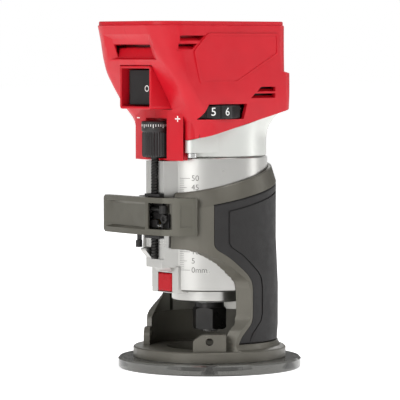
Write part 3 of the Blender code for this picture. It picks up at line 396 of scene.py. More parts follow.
def from_node(node, name):
    """A copy of a CAD node's mesh, in mm about the spindle axis."""
    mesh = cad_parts[node].data.copy()
    mesh.transform(Matrix.Translation((0.0, -AXIS_Y, 0.0)) @ Matrix.Diagonal((1000.0, 1000.0, 1000.0, 1.0)))
    return tidy(add_object(name, mesh), CAD_FLAT_ANGLE)


def gathered(name, parts):
    """One mesh from several, side by side."""
    bm = bmesh.new()
    for part in parts:
        bm.from_mesh(part.data)
        bpy.data.objects.remove(part)
    mesh = bpy.data.meshes.new(name)
    bm.to_mesh(mesh)
    bm.free()
    return add_object(name, mesh)


def text_mesh(words, size):
    """Flat lettering as a thin solid, standing on the XZ plane with its middle at the origin."""
    curve = bpy.data.curves.new("words", 'FONT')
    curve.body = words
    curve.size = size
    curve.align_x = 'LEFT'
    curve.align_y = 'CENTER'
    curve.extrude = 0.03
    curve.resolution_u = 3
    source = add_object("words", curve)
    bpy.context.view_layer.update()
    mesh = bpy.data.meshes.new_from_object(source.evaluated_get(bpy.context.evaluated_depsgraph_get()))
    bpy.data.objects.remove(source)
    return mesh


# ---------------- red housing

# height, front, half width, front corner radius
SECTIONS = ((112.0, 31.0, 31.0, 12.0), (130.0, 32.8, 31.6, 12.0), (137.0, 34.2, 32.0, 12.0),
            (141.5, 37.2, 32.5, 11.0), (145.0, 39.0, 32.8, 8.5), (151.0, 42.3, 33.1, 7.0),
            (157.0, 46.0, 33.1, 6.5), (163.0, 49.8, 33.0, 7.0), (171.0, 54.0, 32.8, 10.0),
            (180.0, 57.6, 32.7, 13.5), (188.6, 60.4, 32.7, 15.0))
REAR_CORNER = 6.0
WALL = 2.4
STEP_HEIGHT = 162.8
STEP_REAR = 29.2              # the rear face above the step
RIM_HEIGHT = 188.6
SEAM = 0.04                   # half the gap between the two shells
THROUGH_SEAM = -5.0           # the hollow runs past the seam
HOUSING_SCREWS = ((44.0, 174.0), (-22.0, 172.0), (-26.4, 151.0), (24.0, 166.0))
COLLAR_SCREWS = ((21.5, -30.7), (-21.5, -30.7), (17.0, 17.5), (-17.0, 17.5))
PARTING_HEIGHT = 135.3
PARTING_SLOPE = 0.245
DIAL_CENTRE = (16.4, -15.4)
EAR_OUTLINE = [(17.955, -31.325), (18.43, -32.58), (19.33, -33.57), (20.53, -34.17), (21.86, -34.28),
               (23.14, -33.9), (24.2, -33.08), (24.88, -31.93), (27.1, -16.0), (18.5, -16.0)]


def housing_size(height):
    """Front reach, half width and front corner radius at a height, on a smooth curve."""
    last = len(SECTIONS) - 1
    i = max(0, min(last - 1, sum(1 for row in SECTIONS if row[0] <= height) - 1))
    low, high = SECTIONS[i], SECTIONS[i + 1]
    span = high[0] - low[0]
    t = min(1.0, max(0.0, (height - low[0]) / span))
    sizes = []
    for k in (1, 2, 3):
        def slope(j):
            one, two = SECTIONS[max(0, j - 1)], SECTIONS[min(last, j + 1)]
            return (two[k] - one[k]) / (two[0] - one[0])
        a, b = slope(i) * span, slope(i + 1) * span
        sizes.append((2 * t ** 3 - 3 * t ** 2 + 1) * low[k] + (t ** 3 - 2 * t ** 2 + t) * a
                     + (3 * t ** 2 - 2 * t ** 3) * high[k] + (t ** 3 - t ** 2) * b)
    return sizes


def housing_ring(side, height, inset=0.0, rear=33.0, level=None, seam=SEAM):
    """Half of a rounded rectangle, from the front centre line round to the rear one."""
    front, half, corner = housing_size(height)
    front, half, rear = front - inset, half - inset, rear - inset
    corner, back = max(corner - inset, 1.0), max(REAR_CORNER - inset, 1.0)
    points = [(seam, -front)]
    points += arc((half - corner, corner - front), corner, -90.0, 0.0, 10)
    points += arc((half - back, rear - back), back, 0.0, 90.0, 6)
    points.append((seam, rear))
    return [(side * x, y, height if level is None else level) for x, y in points]


def housing_shell(side):
    heights = [112.0, 130.0] + [134.0 + 2.2 * i for i in range(13)] + [STEP_HEIGHT]
    rings = [housing_ring(side, z) for z in heights]
    heights = [STEP_HEIGHT + 1.0] + [166.0 + 2.6 * i for i in range(9)] + [RIM_HEIGHT]
    rings += [housing_ring(side, z, rear=STEP_REAR) for z in heights]
    rings += [housing_ring(side, RIM_HEIGHT, inset, STEP_REAR, level)
              for inset, level in ((0.65, 189.0), (0.65, 190.6), (1.05, 191.0))]
    hollow = [housing_ring(side, 112.0, WALL, level=100.0, seam=THROUGH_SEAM)]
    hollow += [housing_ring(side, z, WALL, seam=THROUGH_SEAM)
               for z in (130.0, 137.0, 143.0, 149.0, 156.0, STEP_HEIGHT)]
    hollow += [housing_ring(side, z, WALL, STEP_REAR, seam=THROUGH_SEAM) for z in (STEP_HEIGHT + 1.0, 170.0)]
    hollow += [housing_ring(side, 176.0, WALL, STEP_REAR, 178.0, THROUGH_SEAM)]
    return cut(loft("housing", rings), loft("hollow", hollow))


def flat_x(points):
    """(front, height) points as (y, z)."""
    return [(-front, z) for front, z in points]


def side_details(shell, side):
    """The raised panel, the slanted vents and, on the right, the dial's window."""
    def near(a, b):
        return sorted((side * a, side * b))
    panel = rounded(flat_x([(28.6, 184.4), (38.6, 174.8), (34.4, 157.4), (8.2, 157.4), (-21.4, 173.0),
                            (-21.4, 184.4)]), 1.6)
    join(shell, prism(panel, *near(30.5, 33.35), 'X'))
    dip = rounded(flat_x([(27.6, 183.2), (37.0, 174.6), (33.2, 158.6), (8.6, 158.6), (-20.2, 173.8),
                          (-20.2, 183.2)]), 1.2)
    cut(shell, prism(dip, *near(33.05, 36.0), 'X'))
    vents = [[(47.6, 183.2), (30.8, 183.2), (33.8, 180.4), (47.6, 180.4)],
             [(48.4, 178.8), (36.0, 178.8), (39.2, 175.8), (48.4, 175.8)],
             [(-9.0, 155.4), (-19.4, 155.4), (-19.4, 152.8), (-6.2, 152.8)],
             [(-4.6, 151.8), (-19.4, 151.8), (-19.4, 149.2), (-1.8, 149.2)]]
    cut(shell, *[prism(flat_x(points), *near(27.0, 60.0), 'X') for points in vents])
    louvres = []
    for points in vents:
        (front, top), (back, low) = points[0], points[2]
        ramp = [(side * 32.4, low - 0.8), (side * 29.8, low + (top - low) * 0.55), (side * 29.8, low - 0.8)]
        louvres.append(prism(ramp, -front - 0.8, -min(back, points[1][0]) + 0.8, 'Y'))
    join(shell, *louvres)
    if side > 0.0:
        window = flat_x([(28.0, 146.2), (0.8, 146.2), (2.6, 138.0), (32.2, 138.0)])
        cut(shell, prism(window, 20.0, 60.0, 'X'))


def front_vent():
    """The sunk panel over the switch and the slot in it, as cutters."""
    def front_points(half, low, high, depth):
        rows = []
        for z in (low, high):
            reach = housing_size(z)[0] - depth
            rows += [(x, -reach, z) for x in ((-half, half) if z == low else (half, -half))]
        return rows
    panel = loft("sunk_panel", [front_points(21.2, 169.9, 184.4, -0.7),
                                front_points(15.6, 171.4, 181.4, 2.0)])
    hollow = [(-60.0, 171.4), (-51.9, 171.4), (-50.0, 176.4), (-46.0, 176.4), (-46.0, 178.5), (-60.0, 178.5)]
    return panel, prism(hollow, -15.6, 15.6, 'X')


def make_housing(side, name, node):
    shell = housing_shell(side)
    join(shell, prism([(side * x, y) for x, y in EAR_OUTLINE], 122.0, 142.0))
    upper = below(PARTING_HEIGHT, PARTING_SLOPE)
    cut(shell, upper)
    skirt = [(SEAM, -38.6), (10.0, -38.4), (20.6, -35.9), (17.1, -32.6), (17.1, -22.0), (SEAM, -22.0)]
    join(shell, prism([(side * x, y) for x, y in skirt], 115.6, 145.3))
    for front, height in HOUSING_SCREWS:
        join(shell, rod((side * 0.15, -front, height), (side * 31.5, -front, height), 3.7))
    cut(shell, rod((0.0, 0.0, 90.0), (0.0, 0.0, 131.0), BORE_RADIUS, ROUND),
        block((-27.4, 27.4), (-29.9, 20.0), (90.0, 141.5)))
    for x, y in COLLAR_SCREWS[2:]:
        if x * side > 0.0:
            reach = sorted((x, side * 31.5))
            join(shell, rod((x, y, 140.6), (x, y, 147.6), 3.4),
                 block(reach, (y - 1.2, y + 1.2), (142.4, 147.4)))
    cut(shell, rod((*SCREW, 116.6), (*SCREW, 138.4), 8.3, 48), rod((*SCREW, 100.0), (*SCREW, 120.0), 3.2),
        block((-13.8, 13.8), (-70.0, -36.0), (143.2, 167.3)))
    cut(shell, *[rod((x, y, 100.0), (x, y, 146.8), 1.65) for x, y in COLLAR_SCREWS if x * side > 0.0])
    cut(shell, rod((*DIAL_CENTRE, 138.1), (*DIAL_CENTRE, 145.9), DIAL_RADIUS + 0.45, ROUND))
    cut(shell, block((-22.0, 22.0), (-42.0, 60.0), (181.0, 200.0)),
        block((-25.5, 25.5), (-42.0, 60.0), (181.01, 187.6)))
    if side > 0.0:
        cut(shell, block((4.0, 9.6), (-50.0, -36.8), (110.0, 138.4)))
    side_details(shell, side)
    panel, slot = front_vent()
    cut(shell, panel, slot)
    ramp = [(-52.4, 169.8), (-52.3, 171.41), (-51.9, 171.4), (-50.0, 176.4), (-48.2, 176.4), (-49.6, 169.8)]
    reach = sorted((side * SEAM, side * 16.2))
    join(shell, prism(ramp, *reach, 'X'))
    cut(shell, *[rod((-29.0, -front, height), (26.0, -front, height), 1.6, 16)
                 for front, height in HOUSING_SCREWS])
    if side < 0.0:
        cut(shell, *[rod((-60.0, -front, height), (-26.4, -front, height), 3.1)
                     for front, height in HOUSING_SCREWS])
    piece(tidy(shell), name, "motor", RED, "red_plastic", (node,), bevel=0.35)


def make_direction_marks():
    """A plus and a minus beside the knob, for raising and lowering."""
    def skirt_face(x):
        return -38.46 + max(0.0, abs(x) - 10.0) * 2.5 / 10.6
    bars = []
    for x, half_width, half_height in ((17.0, 1.7, 0.33), (17.0, 0.35, 1.6), (-17.0, 1.7, 0.33)):
        left, right = x - half_width, x + half_width
        plan = [(left, skirt_face(left)), (right, skirt_face(right)), (right, -35.0), (left, -35.0)]
        bars.append(prism(plan, 138.3 - half_height, 138.3 + half_height))
    piece(gathered("marks", bars), "direction_marks", "motor", WHITE_INK)


def make_baffles():
    """Dark screens behind the vents, clear of the electronics: they stand for the dark mesh seen through the
    slots, with painted shade for the hollow behind it.
    """
    screens = [block((-26.0, 26.0), (-45.6, -44.8), (168.8, 180.4))]
    for side in (1.0, -1.0):
        across = sorted((side * 26.6, side * 27.4))
        screens += [block(across, (-47.0, -30.0), (174.6, 177.8)), block(across, (0.5, 20.5), (148.0, 156.6))]
    # black sheets: painted shade inside the vent slots, over the dark mesh
    piece(gathered("screens", screens), "vent_shade_screens", "motor", BLACK)


make_housing(1.0, "housing_right_shell", "housing_right")
make_housing(-1.0, "housing_left_shell", "housing_left")
make_direction_marks()
make_baffles()


# ---------------- base casting and grip

PLATE_ANGLES = (50.0, 130.0, 230.0, 310.0)      # from the front, towards +X
OPENING = ((11.8, 60.5), (15.0, 62.0), (19.0, 63.5), (23.0, 66.7), (26.5, 72.0), (30.5, 76.4),
           (37.0, 76.7), (44.0, 76.3), (46.5, 75.8), (50.0, 73.5), (54.9, 65.0), (57.9, 59.5),
           (61.1, 52.0), (64.8, 39.5), (66.6, 30.0), (67.4, 20.0))
GRIP_FRONT = [(-21.4, 130.0), (-21.4, 69.5), (-20.2, 67.2), (-13.8, 62.7), (-3.6, 53.2), (-1.2, 49.4),
              (-0.7, 45.0), (-0.7, 30.0), (-1.8, 26.4), (-8.0, 19.6), (-10.1, 14.6), (-10.4, 5.0)]
GRIP_LEAN = (84.0, 0.22)      # the height above which the grip leans, and its slope
CASTING_LEAN = (84.0, 0.245)
PAD_ANGLE = 50.0
GRIP_SIDE = ((36.8, 95.5), (36.8, 72.0), (38.0, 46.0), (38.0, 24.0), (37.5, 16.3))


def opening_ring(height, angle):
    """The front opening's outline at one height; its left edge spreads forward into a gusset."""
    low = min(1.0, max(0.0, (40.0 - height) / 15.0))
    gusset = low * low * (3.0 - 2.0 * low)
    sides = []
    for side, start in ((1.0, angle), (-1.0, angle + (min(angle, 52.0) - angle) * gusset)):
        turn, on = math.radians(start), math.radians(start + 9.2)
        near = Vector((32.3 * math.sin(turn), -32.3 * math.cos(turn)))
        far = Vector((37.4 * math.sin(on), -37.4 * math.cos(on)))
        inner, outer = near + (near - far) * 1.3, far + (far - near) * 1.6
        sides.append([(side * x, y, height) for x, y in (inner, outer, (75.0, outer.y), (75.0, -75.0))])
    return sides[0] + sides[1][::-1]


def smooth_levels(levels, step=1.2):
    """More of the opening's levels, on a smooth curve through the given ones."""
    made = []
    for i in range(len(levels) - 1):
        one, two = levels[i], levels[i + 1]
        before, after = levels[max(0, i - 1)], levels[min(len(levels) - 1, i + 2)]
        count = max(1, round((two[0] - one[0]) / step))
        for k in range(count):
            t = k / count
            made.append(tuple(0.5 * (2 * b + (c - a) * t + (2 * a - 5 * b + 4 * c - d) * t * t
                                     + (3 * b - a - 3 * c + d) * t ** 3)
                              for a, b, c, d in zip(before, one, two, after)))
    return made + [levels[-1]]


def grip_block(inner, grow, low, top, shift):
    """The grip's turned form, cut off at its front outline."""
    sides = [(radius + grow, height) for radius, height in GRIP_SIDE]
    form = leaning(turned("grip", [(inner, top), (sides[0][0] - 0.8, top), *sides,
                                   (sides[-1][0] - 0.6, low), (inner, low)]), *GRIP_LEAN)
    outline = rounded(GRIP_FRONT, 3.0, 3) + [(-70.0, 5.0), (-70.0, 130.0)]
    return cut(form, prism([(y - shift, z) for y, z in outline], -60.0, 60.0, 'X'))


def make_base_casting():
    casting = leaning(turned("base", [
        (0.0, 105.5), (33.7, 105.5), (34.3, 104.9), (36.5, 97.4), (36.8, 96.4), (36.8, 72.0), (38.0, 46.0),
        (38.0, 15.2), (38.5, 13.9), (39.4, 12.6), (41.6, 12.0), (42.3, 11.2), (42.3, 6.1), (0.0, 6.1)]),
        *CASTING_LEAN)
    cut(casting, grip_block(35.4, 6.0, 15.4, 96.6, 0.3),
        loft("opening", [opening_ring(*level) for level in smooth_levels(OPENING)]),
        rod((*LEVER_PIN, 74.7), (*LEVER_PIN, KNUCKLE_SPAN[0]), 2.9),
        rod((*LEVER_PIN, KNUCKLE_SPAN[1]), (*LEVER_PIN, 95.8), 2.9))
    lug = [(9.0, -28.0), (9.0, -39.3), (13.2, -39.3), (20.2, -33.8), (20.6, -28.0)]
    web = [(22.4, -32.3), (24.8, -30.5), (20.6, -22.4), (16.6, -26.4)]
    join(casting, prism(lug, *LEVER_SPAN), prism([(-x, y) for x, y in lug], *LEVER_SPAN),
         block((-13.9, -9.0), (-44.6, -38.0), (85.8, 92.1)),
         prism(web, 80.0, 90.6), rod((*LEVER_PIN, 80.0), (*LEVER_PIN, 90.6), 1.6))
    for side, half, reach in ((1.0, 9.0, 39.0), (-1.0, 4.0, 36.6)):
        points = rounded([(side * -half, 10.5), (side * -half, 17.8), (side * -half * 0.45, 21.3),
                          (side * half, 21.3), (side * half, 10.5)], 1.2)
        pad = prism(points, -reach, -31.0 if side > 0.0 else -28.2, 'Y')
        pad.data.transform(Matrix.Rotation(math.radians(side * PAD_ANGLE), 4, 'Z'))
        join(casting, pad)
    cut(casting, turned("bore", [
        (0.0, 130.0), (BORE_RADIUS, 130.0), (BORE_RADIUS, 29.0), (33.4, 26.5), (33.4, 11.5),
        (24.0, 11.5), (24.0, 1.0), (0.0, 1.0)]), block((-9.7, 9.7), (-60.0, -20.0), (60.0, 130.0)))
    spots = [polar(angle, PLATE_SCREW_RADIUS) for angle in PLATE_ANGLES]
    holes = [rod((*spot, 0.0), (*spot, 11.4), 2.25, 16) for spot in spots]
    holes += [rod((*polar(angle, 30.0), 17.4), (*polar(angle, 45.0), 17.4), 2.1, 24)
              for angle in (PAD_ANGLE, -PAD_ANGLE)]
    across = Vector((math.cos(math.radians(PAD_ANGLE)), -math.sin(math.radians(PAD_ANGLE)), 0.0))
    spot = Vector((*polar(-PAD_ANGLE, 30.6), 19.0))
    holes.append(rod(spot - across * 9.0, spot + across * 9.0, 1.5, 24))
    x, height = BRACKET_SCREW
    holes += [rod((-20.0, *CROSS_BOLT), (-5.0, *CROSS_BOLT), 1.5),
              rod((x, -45.0, height), (x, -33.5, height), 1.35),
              rod((*LEVER_PIN, 70.0), (*LEVER_PIN, 100.0), 1.2)]
    cut(casting, *holes)
    made = piece(tidy(casting), "base_casting_shell", "base", CAST, "painted_casting", ("base_casting",),
                 bevel=0.45)
    made.data.materials.append(BORE)
    for face in made.data.polygons:
        x, y, z = face.center / MM
        toward = (face.normal.x * x + face.normal.y * (y - AXIS_Y)) < 0.0
        if toward and math.hypot(x, y - AXIS_Y) < 32.4 and z > 28.6 and abs(face.normal.z) < 0.2:
            face.material_index = 1


def make_grip():
    grip = grip_block(35.7, 0.0, 15.7, 96.3, 0.0)
    rows = GRIP_FRONT[1:]
    band = [(-15.0, 92.0)] + [(y + 6.4, z + 1.4) for y, z in rows[:-1]]
    inner = [(y + 1.0, z - (1.0 if z > 90.0 else 0.0)) for y, z in band]
    groove = prism([(60.0, 92.9)] + band + inner[::-1] + [(60.0, 91.9)], -60.0, 60.0, 'X')
    leaning(groove, *GRIP_LEAN)
    cut(groove, turned("groove_floor", [(0.0, 140.0), (36.15, 140.0), (36.15, 72.0), (37.35, 46.0),
                                        (37.35, 5.0), (0.0, 5.0)]))
    cut(grip, groove)
    piece(tidy(grip), "grip_shell", "base", RUBBER, "grip_rubber", ("grip_overmold",), bevel=0.5)


make_base_casting()
make_grip()


# ---------------- clamp lever

def lever_front(x):
    """How far forward the lever's face lies at a distance across."""
    spots = ((-39.2, 43.9), (-30.0, 45.2), (-15.0, 46.4), (0.0, 46.2), (11.5, 45.0))
    for (left, one), (right, two) in zip(spots, spots[1:]):
        if x <= right:
            return one + (two - one) * (x - left) / (right - left)
    return spots[-1][1]


def make_lever():
    hub = arc(LEVER_PIN, 2.6, -38.0, 142.0, 14)
    rest = [(20.9, 34.6), (14.2, 39.9), (12.8, 41.2), (-38.6, 41.2), (-39.6, 42.4), (-39.2, 43.9)]
    rest += [(-39.2 + 3.62 * k, lever_front(-39.2 + 3.62 * k)) for k in range(1, 14)]
    rest += [(11.5, 45.0), (14.6, 43.0), (20.5, 38.7)]
    lever = prism(hub + [(x, -front) for x, front in rest], *LEVER_SPAN)
    swing = [LEVER_PIN] + arc(LEVER_PIN, 7.0, 22.0, 186.0, 8)
    dish = []
    for inset, lift, sink in ((-1.3, 1.2, 0.0), (0.0, 0.0, 0.0), (1.2, 0.0, 1.0)):
        low, high, left, right = 78.0 + inset, 92.8 - inset, -36.6 + 3.4 * inset, 0.4 - inset
        across = [left + (right - left) * k / 16 for k in range(17)]
        floor = [sink * (0.9 + 1.1 * min(1.0, max(0.0, (-19.0 - x) / 9.0))) - lift - lever_front(x)
                 for x in across]
        dish.append([(x, y, low) for x, y in zip(across, floor)]
                    + [(x, y, high) for x, y in reversed(list(zip(across, floor)))])
    low, high = WINDOW_SPAN
    window = rounded([(2.6, low), (17.4, low), (17.4, high), (2.6, high)], 0.8)
    cut(lever, loft("dish", dish), prism(window, -50.0, -35.0, 'Y'),
        block((-18.2, 3.0), (-44.9, -40.0), WINDOW_SPAN),
        rod((*LEVER_PIN, KNUCKLE_SPAN[0]), (*LEVER_PIN, KNUCKLE_SPAN[1]), 1.9), prism(swing, *KNUCKLE_SPAN),
        rod((*LEVER_PIN, 70.0), (*LEVER_PIN, 100.0), 1.3))
    inset = block((-3.0, 3.0), (-3.0, 0.35), (79.8, 90.8))
    turn = Matrix.Rotation(math.radians(48.0), 4, 'Z')
    inset.data.transform(Matrix.Translation((23.08, -35.85, 0.0)) @ turn)
    cut(lever, inset)
    corner = [(-39.9, 74.0), (-39.9, 77.0), (-37.6, 75.0), (-37.6, 74.0)]
    cut(lever, prism(corner, -50.0, -30.0, 'Y'),
        prism([(x, sum(LEVER_SPAN) - z) for x, z in corner], -50.0, -30.0, 'Y'))
    piece(tidy(lever), "clamp_lever_shell", "lever", LEVER, "lever_metal", ("clamp_lever",),
          bevel=0.7, segments=3)


make_lever()


# ---------------- motor cylinder, scale and lock

def make_motor_housing():
    housing = turned("motor", [
        (29.0, 117.0), (31.5, 117.0), (MOTOR_RADIUS, 116.5), (MOTOR_RADIUS, 44.8), (31.2, 44.0),
        (14.4, 44.0), (14.4, 47.0), (29.0, 47.4)])
    rail = [(-9.8, -30.0), (-6.8, -39.6), (6.8, -39.6), (9.8, -30.0)]
    wedge = [(-30.0, 68.0), (-39.5, 68.0), (-43.4, 67.4), (-43.4, 66.2), (-31.5, 54.0), (-30.0, 54.0)]
    join(housing, prism(rail, 57.0, 115.2), prism(wedge, -6.8, 6.8, 'X'),
         block((-11.3, 11.3), (-31.8, -24.5), (42.8, 57.5)))
    seat = 61.7
    cut(housing, block((-2.4, 2.4), (-50.0, -36.0), (seat, 120.0)),
        block((2.0, 12.0), (-50.0, -38.5), (seat, 120.0)), rod((*SCREW, seat), (*SCREW, 130.0), 2.35),
        block((-6.15, 6.15), (-40.0, -26.2), (43.3, 53.9)),
        rod((0.0, -30.0, LOCK_HEIGHT), (0.0, -20.0, LOCK_HEIGHT), 1.9),
        block((-5.3, -4.9), (-50.0, -39.3), (69.0, 115.0)))
    piece(tidy(housing), "motor_cylinder", "motor", MACHINED, "machined_aluminium", ("motor_housing",),
          bevel=0.4)


def wrapped(mesh, radius, centre, start, height):
    """Bends a flat mesh round a vertical cylinder, its left end at an angle from the front."""
    for vert in mesh.vertices:
        turn = start + vert.co.x / radius
        reach = radius + vert.co.z
        vert.co = (centre[0] + reach * math.sin(turn), centre[1] - reach * math.cos(turn), height + vert.co.y)
    return add_object("wrapped", mesh)


def curved_bar(radius, start, end, height, half):
    steps = max(2, round((end - start) / 1.5))
    rings = []
    for k in range(steps + 1):
        near, far = (polar(start + (end - start) * k / steps, radius + lift) for lift in (-0.02, 0.035))
        rings.append([(*near, height - half), (*far, height - half),
                      (*far, height + half), (*near, height + half)])
    return loft("bar", rings)


def make_scale():
    marks = []
    for value in range(0, 51):
        end = 30.6 if value % 10 == 0 else 27.2 if value % 5 == 0 else 24.2
        half = 0.09 if value % 5 else 0.13
        marks.append(curved_bar(MOTOR_RADIUS, 19.8, end, SCALE_ZERO + value, half))
    for value in range(0, 51, 5):
        words = text_mesh("0mm" if value == 0 else str(value), 4.4)
        marks.append(wrapped(words, 32.02, (0.0, 0.0), math.radians(32.0), SCALE_ZERO + value))
    piece(gathered("marks", marks), "depth_scale", "motor", GREY_INK)


def make_lock_button():
    button = block((-5.85, 5.85), (-32.2, -29.6), (43.6, 53.6))
    join(button, rod((0.0, -31.0, LOCK_HEIGHT), (0.0, -9.2, LOCK_HEIGHT), 1.5))
    piece(button, "lock_button_cap", "lock", RED_GLOSS, "button_red", ("spindle_lock_button",),
          bevel=0.9, segments=3)


make_motor_housing()
make_scale()
make_lock_button()


# ---------------- depth adjuster

THREAD_PITCH = 1.5875         # 16 turns to the inch
KNOB_RING_RADIUS = 7.25
KNOB_TICKS = 32


def threaded(at, low, high, radius, root, pitch, sides=24):
    rows = round((high - low) / pitch * 8)
    rings = []
    for k in range(rows + 1):
        height = low + (high - low) * k / rows
        ring = []
        for i in range(sides):
            phase = (height / pitch - i / sides) % 1.0
            reach = root + (radius - root) * (1.0 - abs(2.0 * phase - 1.0))
            turn = 2.0 * math.pi * i / sides
            ring.append((at[0] + reach * math.sin(turn), at[1] - reach * math.cos(turn), height))
        rings.append(ring)
    return loft("thread", rings)


def ribbed(at, profile, depth, count, steps=6):
    """A turned shape whose surface waves in and out as ribs."""
    rings = []
    for radius, height, share in profile:
        ring = []
        for i in range(count * steps):
            turn = 2.0 * math.pi * i / (count * steps)
            wave = 0.5 - 0.5 * math.cos(2.0 * math.pi * i / steps)
            reach = radius - depth * share * wave ** 0.7
            ring.append((at[0] + reach * math.sin(turn), at[1] - reach * math.cos(turn), height))
        rings.append(ring)
    return loft("ribs", rings)


def make_adjuster():
    knob = ribbed(SCREW, [(6.3, 117.3, 0.4), (6.85, 117.9, 1.0), (6.95, 118.6, 1.0), (6.95, 130.2, 1.0),
                          (6.7, 131.0, 0.4)], 0.55, 30)
    join(knob, turned("ring", [
        (0.0, 137.0), (6.2, 137.0), (7.0, 136.7), (KNOB_RING_RADIUS, 136.1), (KNOB_RING_RADIUS, 131.9),
        (7.0, 131.4), (6.4, 130.6), (0.0, 130.6)], 64, SCREW))
    cut(knob, rod((*SCREW, 110.0), (*SCREW, 136.2), 2.4))
    piece(tidy(knob), "knob_shell", "adjuster", KNOB_BLACK, "black_plastic", ("adjust_knob",),
          bevel=0.12, sharp=50.0)
    screw = threaded(SCREW, 62.0, 116.4, 2.15, 1.55, THREAD_PITCH)
    join(screw, rod((*SCREW, 116.0), (*SCREW, 136.0), 2.1))
    piece(screw, "screw_shell", "adjuster", DARK_STEEL, "dark_steel", ("adjust_screw",), sharp=60.0)
    ticks = []
    for k in range(KNOB_TICKS):
        angle = 360.0 / KNOB_TICKS * k
        height, half = (134.6, 0.6) if k % 4 else (134.2, 1.0)
        tick = curved_bar(KNOB_RING_RADIUS, angle - 1.3, angle + 1.3, height, half)
        tick.data.transform(Matrix.Translation((*SCREW, 0.0)))
        ticks.append(tick)
    piece(gathered("ticks", ticks), "knob_ticks", "adjuster", WHITE_INK)


make_adjuster()


# ---------------- switch and speed dial

ROCKER_TILT = 7.0
OFF_MARK = (2.5, 154.6)       # x and height
DIAL_STEP = 27.0              # between digits, degrees
DIAL_LINE = 1.4               # half an engraved line, degrees


def frame_outline(half, low, high):
    return [(-half, low), (half, low), (half, high), (-half, high)]


def make_switch():
    bezel = prism(rounded(frame_outline(13.5, 143.5, 167.0), 1.8, 5), -52.6, -36.6, 'Y')
    cut(bezel, prism(rounded(frame_outline(12.0, 145.0, 165.5), 0.8, 3), -60.0, -30.0, 'Y'))
    piece(tidy(bezel), "bezel_shell", "motor", RED, "red_plastic", ("switch_bezel",), bevel=0.45, segments=3)
    points = [(-11.4, -39.2), (-11.4, -46.6), (-11.0, -47.3), (-9.5, -47.6), (0.0, -46.4), (9.5, -47.6),
              (11.0, -47.3), (11.4, -46.6), (11.4, -39.2)]
    turn = Matrix.Rotation(math.radians(ROCKER_TILT), 4, 'Z')
    middle = Vector((0.0, -44.0, 0.0))
    rocker = prism([(u * 0.97, v) for u, v in points], 145.8, 164.7)
    rocker.data.transform(Matrix.Translation(middle) @ turn @ Matrix.Translation(-middle))
    piece(rocker, "rocker_shell", "switch", BLACK, "black_plastic", ("rocker",),
          bevel=0.35, segments=3, sharp=25.0)
    x, height = OFF_MARK
    mark = cut(rod((x, -46.48, height), (x, -46.3, height), 1.75),
               rod((x, -47.0, height), (x, -46.0, height), 1.3))
    piece(mark, "off_mark", "switch", WHITE_INK)
    bar = block((-6.3, -5.9), (-0.09, 0.09), (152.9, 156.3))
    bar.data.transform(Matrix.Translation((0.0, -46.35, 0.0)) @ Matrix.Rotation(math.radians(14.2), 4, 'Z'))
    piece(bar, "on_mark", "switch", WHITE_INK)


def dial_dip(toward):
    """How deep the dial's rim is at an angle from +X: a ribbed patch for the thumb, then engraved lines."""
    gap = (toward - 15.6) % DIAL_STEP
    if abs((toward + 208.0) % 360.0 - 180.0) < 14.0:
        return 0.7 if int(toward) % 4 < 2 else 0.0
    if min(gap, DIAL_STEP - gap) < DIAL_LINE:
        return 0.55
    return 0.0


def make_dial():
    middle_x, middle_y = DIAL_CENTRE
    rim = DIAL_RADIUS - 0.5
    rings = []
    for radius, height in ((rim, 138.4), (DIAL_RADIUS, 138.9), (DIAL_RADIUS, 145.1), (rim, 145.6)):
        ring = []
        for i in range(360):
            turn = math.radians(i)
            reach = radius - dial_dip(90.0 - i)
            ring.append((middle_x + reach * math.sin(turn), middle_y - reach * math.cos(turn), height))
        rings.append(ring)
    dial = cut(loft("dial", rings), rod((*DIAL_CENTRE, 130.0), (*DIAL_CENTRE, 150.0), 2.9))
    piece(tidy(dial), "dial_wheel", "dial", BLACK, "black_plastic", ("speed_dial",), sharp=30.0)
    digits = []
    for digit, toward in (("6", 2.2), ("5", 29.0), ("4", 56.0), ("3", 83.0), ("2", 110.0), ("1", 137.0)):
        mesh = text_mesh(digit, 6.3)
        middle = (min(v.co.x for v in mesh.vertices) + max(v.co.x for v in mesh.vertices)) / 2.0
        start = math.radians(90.0 - toward) - middle / DIAL_RADIUS
        digits.append(wrapped(mesh, 18.03, DIAL_CENTRE, start, 142.0))
    piece(gathered("digits", digits), "dial_digits", "dial", WHITE_INK)


make_switch()
make_dial()


# ---------------- collet nut and plate

def make_collet_nut():
    nut = rod((0.0, 0.0, 21.0), (0.0, 0.0, 33.2), 9.815, 6)
    shared(nut, turned("chamfer", [
        (0.0, 33.2), (8.6, 33.2), (10.2, 31.9), (10.2, 22.2), (8.7, 21.0), (0.0, 21.0)]))
    join(nut, turned("collar", [
        (0.0, 36.8), (7.4, 36.8), (8.0, 36.2), (8.2, 33.0), (8.2, 32.0), (0.0, 32.0)], 64))
    cut(nut, rod((0.0, 0.0, 24.0), (0.0, 0.0, 40.0), 6.65, 48),
        rod((0.0, 0.0, 10.0), (0.0, 0.0, 25.0), 5.3, 48))
    piece(tidy(nut), "collet_nut_shell", "collet_clamp", DARK_STEEL, "dark_steel", ("collet_nut",), bevel=0.3)


def make_plate():
    plate = turned("plate", [
        (16.0, 5.4), (16.4, 5.8), (49.9, 5.8), (50.8, 5.0), (50.8, 0.7), (50.2, 0.0), (16.4, 0.0),
        (16.0, 0.4)], 160)
    for angle in PLATE_ANGLES:
        cut(plate, turned("hole", [
            (0.0, 8.0), (2.35, 8.0), (2.35, 3.1), (4.25, 0.9), (4.25, -1.0), (0.0, -1.0)], 32,
            polar(angle, PLATE_SCREW_RADIUS)))
    piece(tidy(plate), "plate_shell", "base", SMOKE, "smoked_plastic", ("sub_base",))


make_collet_nut()
make_plate()


# ---------------- softened copies and screws

